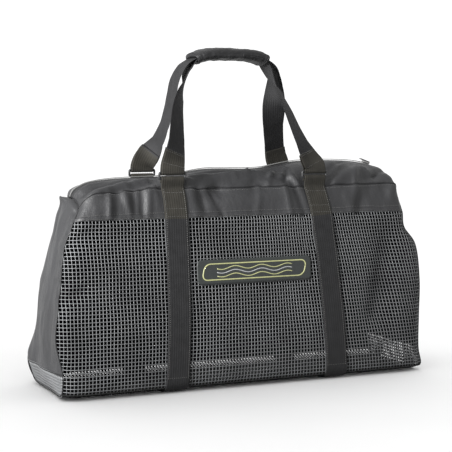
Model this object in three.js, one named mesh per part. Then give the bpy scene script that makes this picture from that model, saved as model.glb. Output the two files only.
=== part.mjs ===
// A mesh gear bag that stands on its bottom: net front and bottom, nylon yoke, back, ends and lid,
// two webbing straps round the body, four rings, and two webbing handles held by a padded wrap.
// Millimetres. +X runs along the bag, -Y is the front, +Z is up. The origin is under the middle.
import * as THREE from "three";

// Body
const bodyLength = 848;
const bodyHeight = 456;
const bottomDepth = 250;
const yokeEdgeHeight = 350;
const zipTapeWidth = 42;
const clothThickness = 1.4;
const seamGap = 0.3;
const gussetBulge = 12;

// Net
const netThickness = 1.6;
const netBandWidth = 7;
const netCell = 68;

// Webbing and rings
const webbingWidth = 50;
const webbingThickness = 2;
const strapClearance = 0.8;
const strapSpacing = 326;
const strapLeanLeft = 8;
const strapLeanRight = 34;
const ringLift = 26;
const ringSetback = 41;
const ringHeight = 17;
const ringBar = 4.5;
const ringDepth = 4;
const ringSideRoom = 1.2;
const ringCornerRadius = 5;
const loopClearance = 0.4;
const strapTail = 9;

// Handles and grip
const gripTopHeight = 700;
const gripLength = 164;
const gripWidth = 66;
const gripThickness = 26;
const gripArch = 12;
const handleTail = 45;
const stackGap = 1.4;
const wrapClearance = 0.9;
const wrapMouth = 2.5;

// Zip
const zipChainWidth = 7;
const zipChainThickness = 2;
const sliderLength = 16;
const sliderWidth = 11;
const sliderThickness = 4;
const sliderPlace = 0.9;
const pullLength = 24;
const pullWidth = 9;
const pullThickness = 1.6;

// Patch on the front net
const patchWidth = 262;
const patchHeight = 50;
const patchThickness = 1.2;
const patchHeightAboveBottom = 239;
const patchShift = 5;

// One row for each line that runs the length of the wall, from the middle of the bottom up to the yoke.
// depth is a share of half the bottom's depth and height a share of the yoke edge's height. front and
// back say where the wall ends at the left and at the right, as shares of half the body's length.
const wallLines = [
  { name: "bottomMiddle", depth: 0, height: 0, front: [0.945, 0.98], back: [0.945, 0.98] },
  { name: "bottomFlat", depth: 0.45, height: 0, front: [0.95, 0.985], back: [0.945, 0.98] },
  { name: "bottomEdge", depth: 0.7, height: 0, front: [0.955, 0.99], back: [0.945, 0.98] },
  { name: "corner", depth: 0.965, height: 0.026, front: [0.965, 1], back: [0.95, 0.98] },
  { name: "low", depth: 1.03, height: 0.137, front: [0.965, 0.975], back: [0.975, 0.985] },
  { name: "belly", depth: 1.03, height: 0.34, front: [0.998, 0.975], back: [0.93, 0.965] },
  { name: "middle", depth: 0.99, height: 0.57, front: [0.974, 0.983], back: [0.912, 0.965] },
  { name: "upper", depth: 0.93, height: 0.794, front: [0.952, 0.962], back: [0.866, 0.945] },
  { name: "notch", depth: 0.885, height: 0.9, front: [0.925, 0.905], back: [0.845, 0.92] },
  { name: "yokeEdge", depth: 0.85, height: 1, front: [0.9, 0.91], back: [0.83, 0.905] },
];

// The same for the top, whose height is a share of the station's own height above the yoke edge.
const topLines = [
  { name: "lidSeam", depth: 0.66, rise: "seam", front: [0.87, 0.902], back: [0.818, 0.895] },
  { name: "lidMiddle", depth: 0.42, rise: "middle", front: [0.86, 0.893], back: [0.835, 0.89] },
];
const zipLine = { name: "zipEdge", front: [0.855, 0.885], back: [0.85, 0.885] };

// One row for each station along the length. at is a share of half the length, the two depths are
// factors on the lines' depths at the bottom and at the yoke, and seam and ridge are the heights of the
// lid's seam and of the zip above the yoke edge, as shares of the height between yoke edge and top.
const stations = [
  { at: -1, depthLow: 0.86, depthHigh: 0.88, seam: 0.25, ridge: 0.42 },
  { at: -0.95, depthLow: 0.955, depthHigh: 0.96, seam: 0.36, ridge: 0.52 },
  { at: -0.87, depthLow: 0.995, depthHigh: 1, seam: 0.46, ridge: 0.64 },
  { at: -0.72, depthLow: 1, depthHigh: 1, seam: 0.54, ridge: 0.71 },
  { at: -0.4, depthLow: 1, depthHigh: 1, seam: 0.55, ridge: 0.75 },
  { at: -0.15, depthLow: 1, depthHigh: 1, seam: 0.55, ridge: 0.87 },
  { at: 0.18, depthLow: 1, depthHigh: 1, seam: 0.54, ridge: 0.87 },
  { at: 0.42, depthLow: 1, depthHigh: 1, seam: 0.53, ridge: 0.99 },
  { at: 0.7, depthLow: 1, depthHigh: 1, seam: 0.56, ridge: 1 },
  { at: 0.87, depthLow: 0.995, depthHigh: 1, seam: 0.55, ridge: 0.94 },
  { at: 0.95, depthLow: 0.96, depthHigh: 0.96, seam: 0.5, ridge: 0.82 },
  { at: 1, depthLow: 0.87, depthHigh: 0.88, seam: 0.4, ridge: 0.62 },
];
const lidMiddleRise = 0.72;

// Folds and dents of the front wall and yoke. Each is a valley along a straight line. x is a share of
// half the length, z a share of the body's height, width a share of the height and depth a share of
// half the bottom's depth. A negative depth is a ridge.
const frontFolds = [
  { name: "lidCreaseLeft", fromX: -0.24, fromZ: 0.85, toX: -0.13, toZ: 0.885, width: 0.035, depth: 0.05 },
  { name: "lidCreaseMiddle", fromX: -0.13, fromZ: 0.885, toX: 0.07, toZ: 0.9, width: 0.035, depth: 0.07 },
  { name: "lidCreaseRight", fromX: 0.07, fromZ: 0.9, toX: 0.21, toZ: 0.935, width: 0.035, depth: 0.05 },
  { name: "yokeDentRight", fromX: 0.62, fromZ: 0.8, toX: 0.8, toZ: 0.9, width: 0.045, depth: 0.06 },
  { name: "yokeRidgeRight", fromX: 0.6, fromZ: 0.91, toX: 0.82, toZ: 0.96, width: 0.035, depth: -0.04 },
  { name: "netDentRight", fromX: 0.7, fromZ: 0.3, toX: 0.78, toZ: 0.62, width: 0.07, depth: 0.08 },
  { name: "netBellyLeft", fromX: -0.7, fromZ: 0.25, toX: -0.2, toZ: 0.4, width: 0.16, depth: -0.03 },
  { name: "cornerPuckerUpper", fromX: -0.93, fromZ: 0.66, toX: -0.8, toZ: 0.72, width: 0.03, depth: 0.05 },
  { name: "cornerPuckerLower", fromX: -0.98, fromZ: 0.42, toX: -0.87, toZ: 0.46, width: 0.03, depth: 0.05 },
];

// Folds of the two ends. across runs from the front seam, 0, to the back seam, 1.
const endFolds = [
  { name: "endFoldFront", side: -1, across: 0.22, fromZ: 0.25, toZ: 0.78, width: 0.11, depth: 0.06 },
  { name: "endFoldBack", side: -1, across: 0.7, fromZ: 0.1, toZ: 0.5, width: 0.14, depth: 0.05 },
  { name: "endFoldRight", side: 1, across: 0.5, fromZ: 0.15, toZ: 0.7, width: 0.16, depth: 0.08 },
];

// The webbing of a handle leaves its ring flat for this length.
const legStraight = 12;
// The legs of the handles from their rings up to the grip. The first row is at the ring. y is a share of
// the ring's distance from the middle and z a share of the way from the end of the flat length to the
// grip. Each of the four legs, such as the front handle's left one, frontL, has its place along the bag,
// as a share of half the strap spacing, and its turn in degrees: 0 where the webbing faces the front or
// back, and 90 or -90 where it faces up.
const legRows = [
  { y: 1, z: 0, frontL: [1, 0], frontR: [1, 0], backL: [1, 0], backR: [1, 0] },
  { y: 0.985, z: 0, frontL: [0.994, 0], frontR: [0.992, 0], backL: [0.991, 0], backR: [0.993, 0] },
  { y: 0.94, z: 0.074, frontL: [0.965, -12], frontR: [0.94, -10], backL: [0.925, 24], backR: [0.95, -4] },
  { y: 0.82, z: 0.221, frontL: [0.91, -29], frontR: [0.855, -30], backL: [0.8, 76], backR: [0.9, -8] },
  { y: 0.68, z: 0.368, frontL: [0.87, -36], frontR: [0.79, -38], backL: [0.735, 88], backR: [0.85, -4] },
  { y: 0.52, z: 0.516, frontL: [0.82, -42], frontR: [0.74, -43], backL: [0.71, 90], backR: [0.81, 16] },
  { y: 0.35, z: 0.653, frontL: [0.745, -51], frontR: [0.69, -51], backL: [0.705, 90], backR: [0.775, 54] },
  { y: 0.18, z: 0.789, frontL: [0.655, -71], frontR: [0.63, -71], backL: [0.7, 90], backR: [0.73, 80] },
  { y: 0.07, z: 0.883, frontL: [0.6, -86], frontR: [0.585, -86], backL: [0.665, 90], backR: [0.675, 90] },
  { y: 0.01, z: 0.949, frontL: [0.55, -90], frontR: [0.545, -90], backL: [0.61, 90], backR: [0.61, 90] },
];
// The two handles part where the webbing has turned by this angle, in degrees.
const layFrom = 45;

// Derived places
const halfLength = bodyLength / 2;
const halfDepth = bottomDepth / 2;
const topRise = bodyHeight - yokeEdgeHeight;
const bottomLift = webbingThickness + strapClearance;
const lastWallLine = wallLines.length - 1;
const seamLine = wallLines.length;
const zipEdgeLine = seamLine + topLines.length;
const lineCount = 2 * zipEdgeLine + 1;
const ridgeLine = lineCount / 2;
const cornerLine = wallLines.findIndex((line) => line.name === "corner");
const hemLine = wallLines.findIndex((line) => line.name === "low");
const mirrored = (line) => lineCount - line;

const nylon = new THREE.MeshStandardMaterial({ name: "nylon", color: 0x46464a, roughness: 0.6 });
const net = new THREE.MeshStandardMaterial({ name: "net", color: 0x8a8c8c, roughness: 0.45 });
const webbing = new THREE.MeshStandardMaterial({ name: "webbing", color: 0x35363a, roughness: 0.75 });
const plastic = new THREE.MeshStandardMaterial({ name: "plastic", color: 0x16171a, roughness: 0.4 });
const patchCloth = new THREE.MeshStandardMaterial({ name: "patch", color: 0x24262b, roughness: 0.7 });
const zipTeeth = new THREE.MeshStandardMaterial({ name: "zip", color: 0x9a9a98, roughness: 0.4 });

// The value of one column between the stations, on a smooth curve through them.
function column(name, u) {
  const last = stations.length - 1;
  let k = 0;
  while (k < last - 1 && u > stations[k + 1].at) k++;
  const slope = (i) => {
    const low = stations[Math.max(i - 1, 0)];
    const high = stations[Math.min(i + 1, last)];
    return (high[name] - low[name]) / (high.at - low.at);
  };
  const from = stations[k];
  const to = stations[k + 1];
  const span = to.at - from.at;
  const t = (u - from.at) / span;
  const t2 = t * t;
  const t3 = t2 * t;
  return (
    (2 * t3 - 3 * t2 + 1) * from[name] +
    (t3 - 2 * t2 + t) * span * slope(k) +
    (-2 * t3 + 3 * t2) * to[name] +
    (t3 - t2) * span * slope(k + 1)
  );
}

// A line's point at u on the front, or on the back when side is 1.
function linePoint(line, u, side) {
  const [reachLeft, reachRight] = side < 0 ? line.front : line.back;
  const x = u * halfLength * (u < 0 ? reachLeft : reachRight);
  if (line.name === zipLine.name) {
    const z = yokeEdgeHeight + topRise * column("ridge", u);
    return new THREE.Vector3(x, (side * zipTapeWidth) / 2, z + bottomLift);
  }
  if (line.rise) {
    const seam = column("seam", u);
    const ridge = column("ridge", u);
    const share = line.rise === "seam" ? seam : seam + (ridge - seam) * lidMiddleRise;
    const y = side * halfDepth * line.depth * column("depthHigh", u);
    return new THREE.Vector3(x, y, yokeEdgeHeight + topRise * share + bottomLift);
  }
  const low = column("depthLow", u);
  const high = column("depthHigh", u);
  const factor = low + (high - low) * line.height;
  const y = side * halfDepth * line.depth * factor;
  return new THREE.Vector3(x, y, line.height * yokeEdgeHeight + bottomLift);
}

// The closed curve round the body at u, through every line on the front and then on the back.
const girthCurves = new Map();
function girth(u) {
  if (!girthCurves.has(u)) {
    const lines = [...wallLines, ...topLines, zipLine];
    const front = lines.map((line) => linePoint(line, u, -1));
    const back = lines.slice(1).map((line) => linePoint(line, u, 1));
    girthCurves.set(u, new THREE.CatmullRomCurve3([...front, ...back.reverse()], true, "centripetal"));
  }
  return girthCurves.get(u);
}

// How far from the straight line from a to b the point p is, all in one plane.
function distanceToLine(px, pz, ax, az, bx, bz) {
  const dx = bx - ax;
  const dz = bz - az;
  const t = Math.min(1, Math.max(0, ((px - ax) * dx + (pz - az) * dz) / (dx * dx + dz * dz)));
  return Math.hypot(px - ax - t * dx, pz - az - t * dz);
}

function frontFoldDepth(p) {
  let depth = 0;
  for (const fold of frontFolds) {
    const away = distanceToLine(
      p.x,
      p.z - bottomLift,
      fold.fromX * halfLength,
      fold.fromZ * bodyHeight,
      fold.toX * halfLength,
      fold.toZ * bodyHeight,
    );
    depth += fold.depth * halfDepth * Math.exp(-((away / (fold.width * bodyHeight)) ** 2));
  }
  return depth;
}

// The body's outer surface. v counts the lines from the middle of the bottom up the front.
function bodyPoint(u, v) {
  const turn = (((v % lineCount) + lineCount) % lineCount) / lineCount;
  const p = girth(u).getPoint(turn);
  p.z = Math.max(p.z, bottomLift);
  if (p.y < 0 && v > cornerLine && v < zipEdgeLine) {
    const fade = Math.min(1, (v - cornerLine) / 2, (zipEdgeLine - v) / 1.5);
    p.y += frontFoldDepth(p) * Math.max(fade, 0);
  }
  return p;
}

// The surface of one end: straight across from the front seam to the back seam, with its bulge and folds.
function endPoint(side, v, across) {
  const front = bodyPoint(side, v);
  const back = bodyPoint(side, mirrored(v));
  const p = front.clone().lerp(back, across);
  const height = (p.z - bottomLift) / bodyHeight;
  const middle = 4 * across * (1 - across);
  let out = gussetBulge * middle * Math.min(1, height * 4);
  for (const fold of endFolds) {
    if (fold.side !== side) continue;
    const along = Math.max(fold.fromZ - height, height - fold.toZ, 0);
    const away = Math.hypot((across - fold.across) / fold.width, along / 0.12);
    out -= fold.depth * halfDepth * Math.exp(-(away ** 2)) * Math.min(1, 2 * middle);
  }
  p.x += side * out;
  return p;
}

// The unit vector that points out of a surface at one of its points.
const probe = 1e-3;
function outward(surface, a, b) {
  const p = surface(a, b);
  const along = surface(a + probe, b).sub(surface(a - probe, b));
  const over = surface(a, b + probe).sub(surface(a, b - probe));
  const n = along.cross(over).normalize();
  const inside = new THREE.Vector3(p.x / 2, 0, bodyHeight / 2);
  return n.dot(p.clone().sub(inside)) < 0 ? n.negate() : n;
}

// A closed mesh from triangles that index points, with its faces turned outwards.
function closedMesh(name, points, triangles, material) {
  let volume = 0;
  for (let i = 0; i < triangles.length; i += 3) {
    const [a, b, c] = [points[triangles[i]], points[triangles[i + 1]], points[triangles[i + 2]]];
    volume += a.dot(b.clone().cross(c));
  }
  if (volume < 0) triangles.reverse();
  const geometry = new THREE.BufferGeometry().setFromPoints(points);
  geometry.setIndex(triangles);
  geometry.computeVertexNormals();
  const mesh = new THREE.Mesh(geometry, material);
  mesh.name = name;
  return mesh;
}

// A wall between two grids of points, one outside and one inside. Cells where isOpen is true are cut out.
function wall(name, outer, inner, material, isOpen = () => false) {
  const columns = outer.length;
  const rows = outer[0].length;
  const points = [...outer.flat(), ...inner.flat()];
  const outside = (i, j) => i * rows + j;
  const inside = (i, j) => columns * rows + i * rows + j;
  const isSolid = (i, j) => i >= 0 && j >= 0 && i < columns - 1 && j < rows - 1 && !isOpen(i, j);
  const triangles = [];
  const quad = (a, b, c, d) => triangles.push(a, b, c, a, c, d);
  const lowRim = (i, j, k, l) => quad(outside(i, j), inside(i, j), inside(k, l), outside(k, l));
  const highRim = (i, j, k, l) => quad(outside(i, j), outside(k, l), inside(k, l), inside(i, j));
  for (let i = 0; i < columns - 1; i++) {
    for (let j = 0; j < rows - 1; j++) {
      if (!isSolid(i, j)) continue;
      quad(outside(i, j), outside(i + 1, j), outside(i + 1, j + 1), outside(i, j + 1));
      quad(inside(i, j), inside(i, j + 1), inside(i + 1, j + 1), inside(i + 1, j));
      if (!isSolid(i, j - 1)) lowRim(i, j, i + 1, j);
      if (!isSolid(i, j + 1)) highRim(i, j + 1, i + 1, j + 1);
      if (!isSolid(i - 1, j)) highRim(i, j, i, j + 1);
      if (!isSolid(i + 1, j)) lowRim(i + 1, j, i + 1, j + 1);
    }
  }
  const used = [...new Set(triangles)].sort((a, b) => a - b);
  const place = new Map(used.map((old, k) => [old, k]));
  return closedMesh(
    name,
    used.map((old) => points[old]),
    triangles.map((old) => place.get(old)),
    material,
  );
}

// A sheet of cloth or net on a surface. trim says how far each border keeps from the surface's own edge,
// in the order first column, last column, first row, last row.
function sheet(name, surface, columnPlaces, rowPlaces, thickness, material, trim, isOpen) {
  const grid = columnPlaces.map((a) => rowPlaces.map((b) => surface(a, b)));
  const last = grid.length - 1;
  const top = rowPlaces.length - 1;
  const pull = (point, towards, distance) => {
    point.add(towards.clone().sub(point).setLength(distance));
  };
  const normals = columnPlaces.map((a) => rowPlaces.map((b) => outward(surface, a, b)));
  for (let j = 0; j <= top; j++) {
    pull(grid[0][j], grid[1][j], trim[0]);
    pull(grid[last][j], grid[last - 1][j], trim[1]);
  }
  for (let i = 0; i <= last; i++) {
    pull(grid[i][0], grid[i][1], trim[2]);
    pull(grid[i][top], grid[i][top - 1], trim[3]);
  }
  const inwards = (p, i, j) => p.clone().addScaledVector(normals[i][j], -thickness);
  const inner = grid.map((row, i) => row.map((p, j) => inwards(p, i, j)));
  return wall(name, grid, inner, material, isOpen);
}

// count + 1 numbers at even steps from one number to another.
const evenly = (from, to, count) =>
  Array.from({ length: count + 1 }, (_, k) => from + ((to - from) * k) / count);

// Places along one direction of a net: both edges of each band, and with it the middle of each gap.
function netPlaces(from, to, gaps, halfBand, withMiddles) {
  const step = (to - from) / gaps;
  const places = [from];
  for (let k = 0; k < gaps; k++) {
    const start = from + k * step;
    places.push(start + (k === 0 ? 2 : 1) * halfBand);
    if (withMiddles) places.push(start + step / 2);
    places.push(start + step - (k === gaps - 1 ? 2 : 1) * halfBand);
  }
  places.push(to);
  return places;
}

// Whether a cell of a net lies in a gap. A gap is two columns wide and one row high.
const isGap = (i, j) => i % 3 !== 0 && j % 2 !== 0;

// The same for a net with no middles.
const isFlapGap = (i, j) => i % 2 !== 0 && j % 2 !== 0;

// The line number at a share of the way round the middle of the body, from one line to another.
function lineAtShare(fromLine, toLine, share) {
  const steps = 200;
  const lengths = [0];
  let before = bodyPoint(0, fromLine);
  for (let k = 1; k <= steps; k++) {
    const p = bodyPoint(0, fromLine + ((toLine - fromLine) * k) / steps);
    lengths.push(lengths[k - 1] + p.distanceTo(before));
    before = p;
  }
  const wanted = share * lengths[steps];
  let k = 1;
  while (k < steps && lengths[k] < wanted) k++;
  const part = (wanted - lengths[k - 1]) / (lengths[k] - lengths[k - 1]);
  return { line: fromLine + ((toLine - fromLine) * (k - 1 + part)) / steps, length: lengths[steps] };
}

// Lines of the net's own grid, shared by every panel that meets it.
const netColumns = Math.max(1, Math.round(bodyLength / netCell - 0.25));
const columnPlaces = netPlaces(-1, 1, netColumns, netBandWidth / bodyLength, true);
const columnMiddles = evenly(-1, 1, 2 * netColumns).slice(1, -1);
const coarseColumns = [-1, columnPlaces[1], ...columnMiddles, -columnPlaces[1], 1];
const wallLength = lineAtShare(cornerLine, lastWallLine, 1).length;
const netRows = Math.round(wallLength / netCell - 0.25);
const shareOfBand = netBandWidth / 2 / wallLength;
const wallShares = netPlaces(0, 1, netRows, shareOfBand, false);
const wallPlaces = wallShares.map((share) => lineAtShare(cornerLine, lastWallLine, share).line);
const coarseShares = [0, wallShares[1], ...evenly(0, 1, netRows).slice(1)];
const coarseWall = coarseShares.map((share) => lineAtShare(cornerLine, lastWallLine, share).line);
const bottomLength = lineAtShare(-cornerLine, cornerLine, 1).length;
const bottomRows = Math.round(bottomLength / netCell);
const bottomShares = netPlaces(0, 1, bottomRows, netBandWidth / 2 / bottomLength, false);
const bottomPlaces = bottomShares.map((share) => lineAtShare(-cornerLine, cornerLine, share).line);
const yokePlaces = evenly(lastWallLine, seamLine, 4);
const lidPlaces = evenly(seamLine, zipEdgeLine, 3);
const zipPlaces = [zipEdgeLine, mirrored(zipEdgeLine)];
const halfGap = seamGap / 2;
const everyTrim = [halfGap, halfGap, halfGap, halfGap];

const bag = new THREE.Group();
bag.name = "mesh_gear_bag";

function addBody() {
  const netPanel = (name, places) =>
    sheet(name, bodyPoint, columnPlaces, places, netThickness, net, everyTrim, isGap);
  const clothPanel = (name, places, material) =>
    sheet(name, bodyPoint, coarseColumns, places, clothThickness, material, everyTrim);
  const backPlaces = [...coarseWall, ...yokePlaces.slice(1)].map(mirrored);
  bag.add(
    netPanel("front_net", wallPlaces),
    netPanel("bottom_net", bottomPlaces),
    clothPanel("front_yoke", yokePlaces, nylon),
    clothPanel("back_panel", backPlaces, nylon),
    clothPanel("lid_front", lidPlaces, nylon),
    clothPanel("lid_back", lidPlaces.map(mirrored), nylon),
    clothPanel("zip_tape", zipPlaces, webbing),
  );
}

function addEnds() {
  const acrossPlaces = evenly(0, 1, 6);
  const setIn = clothThickness + seamGap;
  const flapBandShare = netBandWidth / 2 / (wallLines[hemLine].height * yokeEdgeHeight);
  const flapSetIn = netThickness + 3 * seamGap;
  const hemRoom = 0.2;
  const wallAboveHem = coarseWall.filter((line) => line > hemLine + hemRoom);
  const upper = [...wallAboveHem, ...yokePlaces.slice(1), ...lidPlaces.slice(1)];
  for (const side of [-1, 1]) {
    const label = side < 0 ? "left" : "right";
    const surface = (across, line) => endPoint(side, line, across);
    const rows = [hemLine, ...upper];
    const gusset = sheet(
      label + "_gusset",
      surface,
      acrossPlaces,
      rows,
      clothThickness,
      nylon,
      [flapSetIn, setIn, halfGap, setIn],
    );
    const flapColumns = [...bottomPlaces].reverse().map((line) => (1 - line / cornerLine) / 2);
    const flapRows = netPlaces(0, 1, 1, flapBandShare, false);
    const flapSurface = (across, share) => {
      const foot = bodyPoint(side, cornerLine * (1 - 2 * across));
      return foot.lerp(endPoint(side, hemLine, across), share);
    };
    const flap = sheet(
      label + "_corner_net",
      flapSurface,
      flapColumns,
      flapRows,
      netThickness,
      net,
      [flapSetIn, flapSetIn, flapSetIn, 2 * seamGap],
      isFlapGap,
    );
    bag.add(gusset, flap);
  }
}

// The u at which a line passes x.
function uAt(x, v) {
  let low = -1;
  let high = 1;
  for (let k = 0; k < 40; k++) {
    const middle = (low + high) / 2;
    if (bodyPoint(middle, v).x < x) low = middle;
    else high = middle;
  }
  return (low + high) / 2;
}

// A strip of webbing through stations, each with its two outer edge points and the way out.
function strip(name, ribs, thickness, material) {
  const outer = [ribs.map((rib) => rib.left), ribs.map((rib) => rib.right)];
  const inner = outer.map((edge) => edge.map((p, k) => p.clone().addScaledVector(ribs[k].out, -thickness)));
  return wall(name, outer, inner, material);
}

const loopRadius = Math.hypot(ringBar, ringDepth) / 2 + loopClearance;
const barOffset = (ringHeight - ringBar) / 2;
const loopSteps = 6;

// Where each ring sits.
function ringPlace(sideX, sideY) {
  const x = (sideX * strapSpacing) / 2;
  const seam = bodyPoint(uAt(x, seamLine), seamLine);
  return new THREE.Vector3(x, sideY * (halfDepth - ringSetback), seam.z + ringLift);
}

// One half of a body strap, from under the middle up to its ring and round the ring's lower bar.
function strapRibs(sideX, sideY) {
  const lean = sideX < 0 ? strapLeanLeft : strapLeanRight;
  const ribs = [];
  const lines = [
    ...bottomPlaces.filter((line) => line > 0.01 && line < cornerLine),
    ...wallPlaces,
    ...yokePlaces.slice(1),
  ];
  for (const line of [0, ...lines]) {
    const v = sideY < 0 ? line : mirrored(line);
    const height = Math.max(0, bodyPoint(0, v).z - bottomLift) / bodyHeight;
    const centre = sideX * (strapSpacing / 2 + lean * Math.max(0, 1 - height / 0.88));
    const edge = (shift) => {
      const x = centre + shift;
      const u = uAt(x, v);
      const out = outward(bodyPoint, u, v);
      return { point: bodyPoint(u, v).addScaledVector(out, strapClearance + webbingThickness), out };
    };
    const left = edge(-webbingWidth / 2);
    const right = edge(webbingWidth / 2);
    ribs.push({ left: left.point, right: right.point, out: left.out.clone().add(right.out).normalize() });
  }
  const ring = ringPlace(sideX, sideY);
  const barHeight = ring.z - barOffset;
  const reach = loopRadius + webbingThickness;
  const upright = (height, angle, radius) => {
    const out = new THREE.Vector3(0, sideY * Math.cos(angle), Math.sin(angle));
    const y = ring.y + out.y * radius;
    const z = height + out.z * radius;
    const left = new THREE.Vector3(ring.x - webbingWidth / 2, y, z);
    const right = new THREE.Vector3(ring.x + webbingWidth / 2, y, z);
    return { left, right, out };
  };
  for (let k = 0; k <= loopSteps; k++) ribs.push(upright(barHeight, (Math.PI * k) / loopSteps, reach));
  ribs.push(upright(barHeight - strapTail, Math.PI, reach));
  return ribs;
}

function addStraps() {
  for (const sideX of [-1, 1]) {
    const front = strapRibs(sideX, -1);
    const back = strapRibs(sideX, 1);
    const ribs = [...front.reverse(), ...back.slice(1)];
    bag.add(strip((sideX < 0 ? "left" : "right") + "_body_strap", ribs, webbingThickness, webbing));
  }
}

function roundedRectangle(shape, width, height, radius) {
  const x = width / 2;
  const y = height / 2;
  shape.moveTo(-x + radius, -y);
  shape.lineTo(x - radius, -y);
  shape.absarc(x - radius, -y + radius, radius, -Math.PI / 2, 0);
  shape.lineTo(x, y - radius);
  shape.absarc(x - radius, y - radius, radius, 0, Math.PI / 2);
  shape.lineTo(-x + radius, y);
  shape.absarc(-x + radius, y - radius, radius, Math.PI / 2, Math.PI);
  shape.lineTo(-x, -y + radius);
  shape.absarc(-x + radius, -y + radius, radius, Math.PI, Math.PI * 1.5);
  return shape;
}

function addRings() {
  const innerWidth = webbingWidth + 2 * ringSideRoom;
  const innerHeight = ringHeight - 2 * ringBar;
  for (const sideX of [-1, 1]) {
    for (const sideY of [-1, 1]) {
      const shape = roundedRectangle(
        new THREE.Shape(),
        innerWidth + 2 * ringBar,
        ringHeight,
        ringCornerRadius,
      );
      shape.holes.push(roundedRectangle(new THREE.Path(), innerWidth, innerHeight, 1));
      const settings = { depth: ringDepth, bevelEnabled: false, curveSegments: 2 };
      const geometry = new THREE.ExtrudeGeometry(shape, settings);
      geometry.translate(0, 0, -ringDepth / 2);
      const ring = new THREE.Mesh(geometry, plastic);
      ring.rotation.x = Math.PI / 2;
      ring.position.copy(ringPlace(sideX, sideY));
      ring.name = "ring_" + (sideY < 0 ? "front" : "back") + "_" + (sideX < 0 ? "left" : "right");
      bag.add(ring);
    }
  }
}

// The middle line of the grip, from share -1 at its left end to 1 at its right end. It droops at the ends.
const gripPathTop = gripTopHeight - gripThickness / 2;
const gripShares = [-1, -0.9, -0.78, -0.62, -0.4, 0, 0.4, 0.62, 0.78, 0.9, 1];
function gripPoint(share) {
  return new THREE.Vector3((share * gripLength) / 2, 0, gripPathTop - gripArch * share ** 4);
}
function gripSlope(share) {
  return Math.atan((-4 * gripArch * share ** 3) / (gripLength / 2));
}

// The middle line of a handle from one ring to the other, with the width direction at each step and the
// side that faces away from the bag at the rings. In the grip the back handle lies on the front one.
function handlePath(sideY) {
  const layer = sideY * ((webbingThickness + stackGap) / 2);
  const rows = [];
  for (const sideX of [-1, 1]) {
    const name = (sideY < 0 ? "front" : "back") + (sideX < 0 ? "L" : "R");
    const ring = ringPlace(sideX, sideY);
    const startY = ring.y + sideY * (loopRadius + webbingThickness / 2);
    const start = new THREE.Vector3(ring.x, startY, ring.z + barOffset);
    const rise = gripPathTop - gripArch - start.z;
    const leg = legRows.map((row, index) => {
      const [along, turn] = row[name];
      const height = index === 0 ? 0 : legStraight + (rise - legStraight) * row.z;
      return { point: new THREE.Vector3(start.x * along, start.y * row.y, start.z + height), turn };
    });
    if (sideX < 0) rows.push(...leg);
    else rows.push(...leg.reverse());
  }
  const gripTurn = rows[legRows.length].turn;
  const gripRows = gripShares.map((share) => ({ point: gripPoint(share), turn: gripTurn }));
  rows.splice(legRows.length, 0, ...gripRows);
  const curve = new THREE.CatmullRomCurve3(rows.map((row) => row.point), false, "centripetal");
  const spans = rows.length - 1;
  const steps = spans * 2;
  const inGrip = (row) => row >= legRows.length && row < legRows.length + gripRows.length;
  const path = [];
  for (let k = 0; k <= steps; k++) {
    if (k % 2 === 1 && inGrip((k - 1) / 2) && inGrip((k + 1) / 2)) continue;
    const t = k / steps;
    const row = Math.min(spans - 1, Math.floor(t * spans));
    const part = t * spans - row;
    const degrees = rows[row].turn + (rows[row + 1].turn - rows[row].turn) * part;
    const turn = THREE.MathUtils.degToRad(degrees);
    const tangent = curve.getTangent(t);
    if (k === 0) tangent.set(0, 0, 1);
    if (k === steps) tangent.set(0, 0, -1);
    const across = new THREE.Vector3(Math.cos(turn), -Math.sin(turn), 0);
    across.addScaledVector(tangent, -across.dot(tangent)).normalize();
    const out = tangent.clone().cross(across).normalize();
    if (out.y * sideY < 0) out.negate();
    const point = curve.getPoint(t);
    const lifted = THREE.MathUtils.clamp((Math.abs(degrees) - layFrom) / (90 - layFrom), 0, 1);
    const upper = new THREE.Vector3(point.x, point.y, inGrip(row) && inGrip(row + 1) ? gripTopHeight : 0);
    const up = out.dot(upper) < 0 ? -1 : 1;
    path.push({ point: point.addScaledVector(out, layer * lifted * up), across, out });
  }
  return path;
}

// The far end of a handle: round the ring's upper bar and back up along the leg.
function handleEnd(path, sideX, sideY) {
  const ring = ringPlace(sideX, sideY);
  const barHeight = ring.z + barOffset;
  const radius = loopRadius + webbingThickness / 2;
  const ribs = [];
  for (let k = 1; k <= loopSteps; k++) {
    const angle = (Math.PI * k) / loopSteps;
    const out = new THREE.Vector3(0, sideY * Math.cos(angle), -Math.sin(angle));
    const point = new THREE.Vector3(ring.x, ring.y + out.y * radius, barHeight + out.z * radius);
    ribs.push({ point, across: new THREE.Vector3(1, 0, 0), out });
  }
  let length = 0;
  for (let k = 1; k < path.length && length < handleTail; k++) {
    length += path[k].point.distanceTo(path[k - 1].point);
    const share = Math.min(1, length / handleTail);
    const apart = 2 * radius + (webbingThickness + stackGap - 2 * radius) * share;
    ribs.push({
      point: path[k].point.clone().addScaledVector(path[k].out, -apart),
      across: path[k].across.clone(),
      out: path[k].out.clone().negate(),
    });
  }
  return ribs;
}

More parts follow.
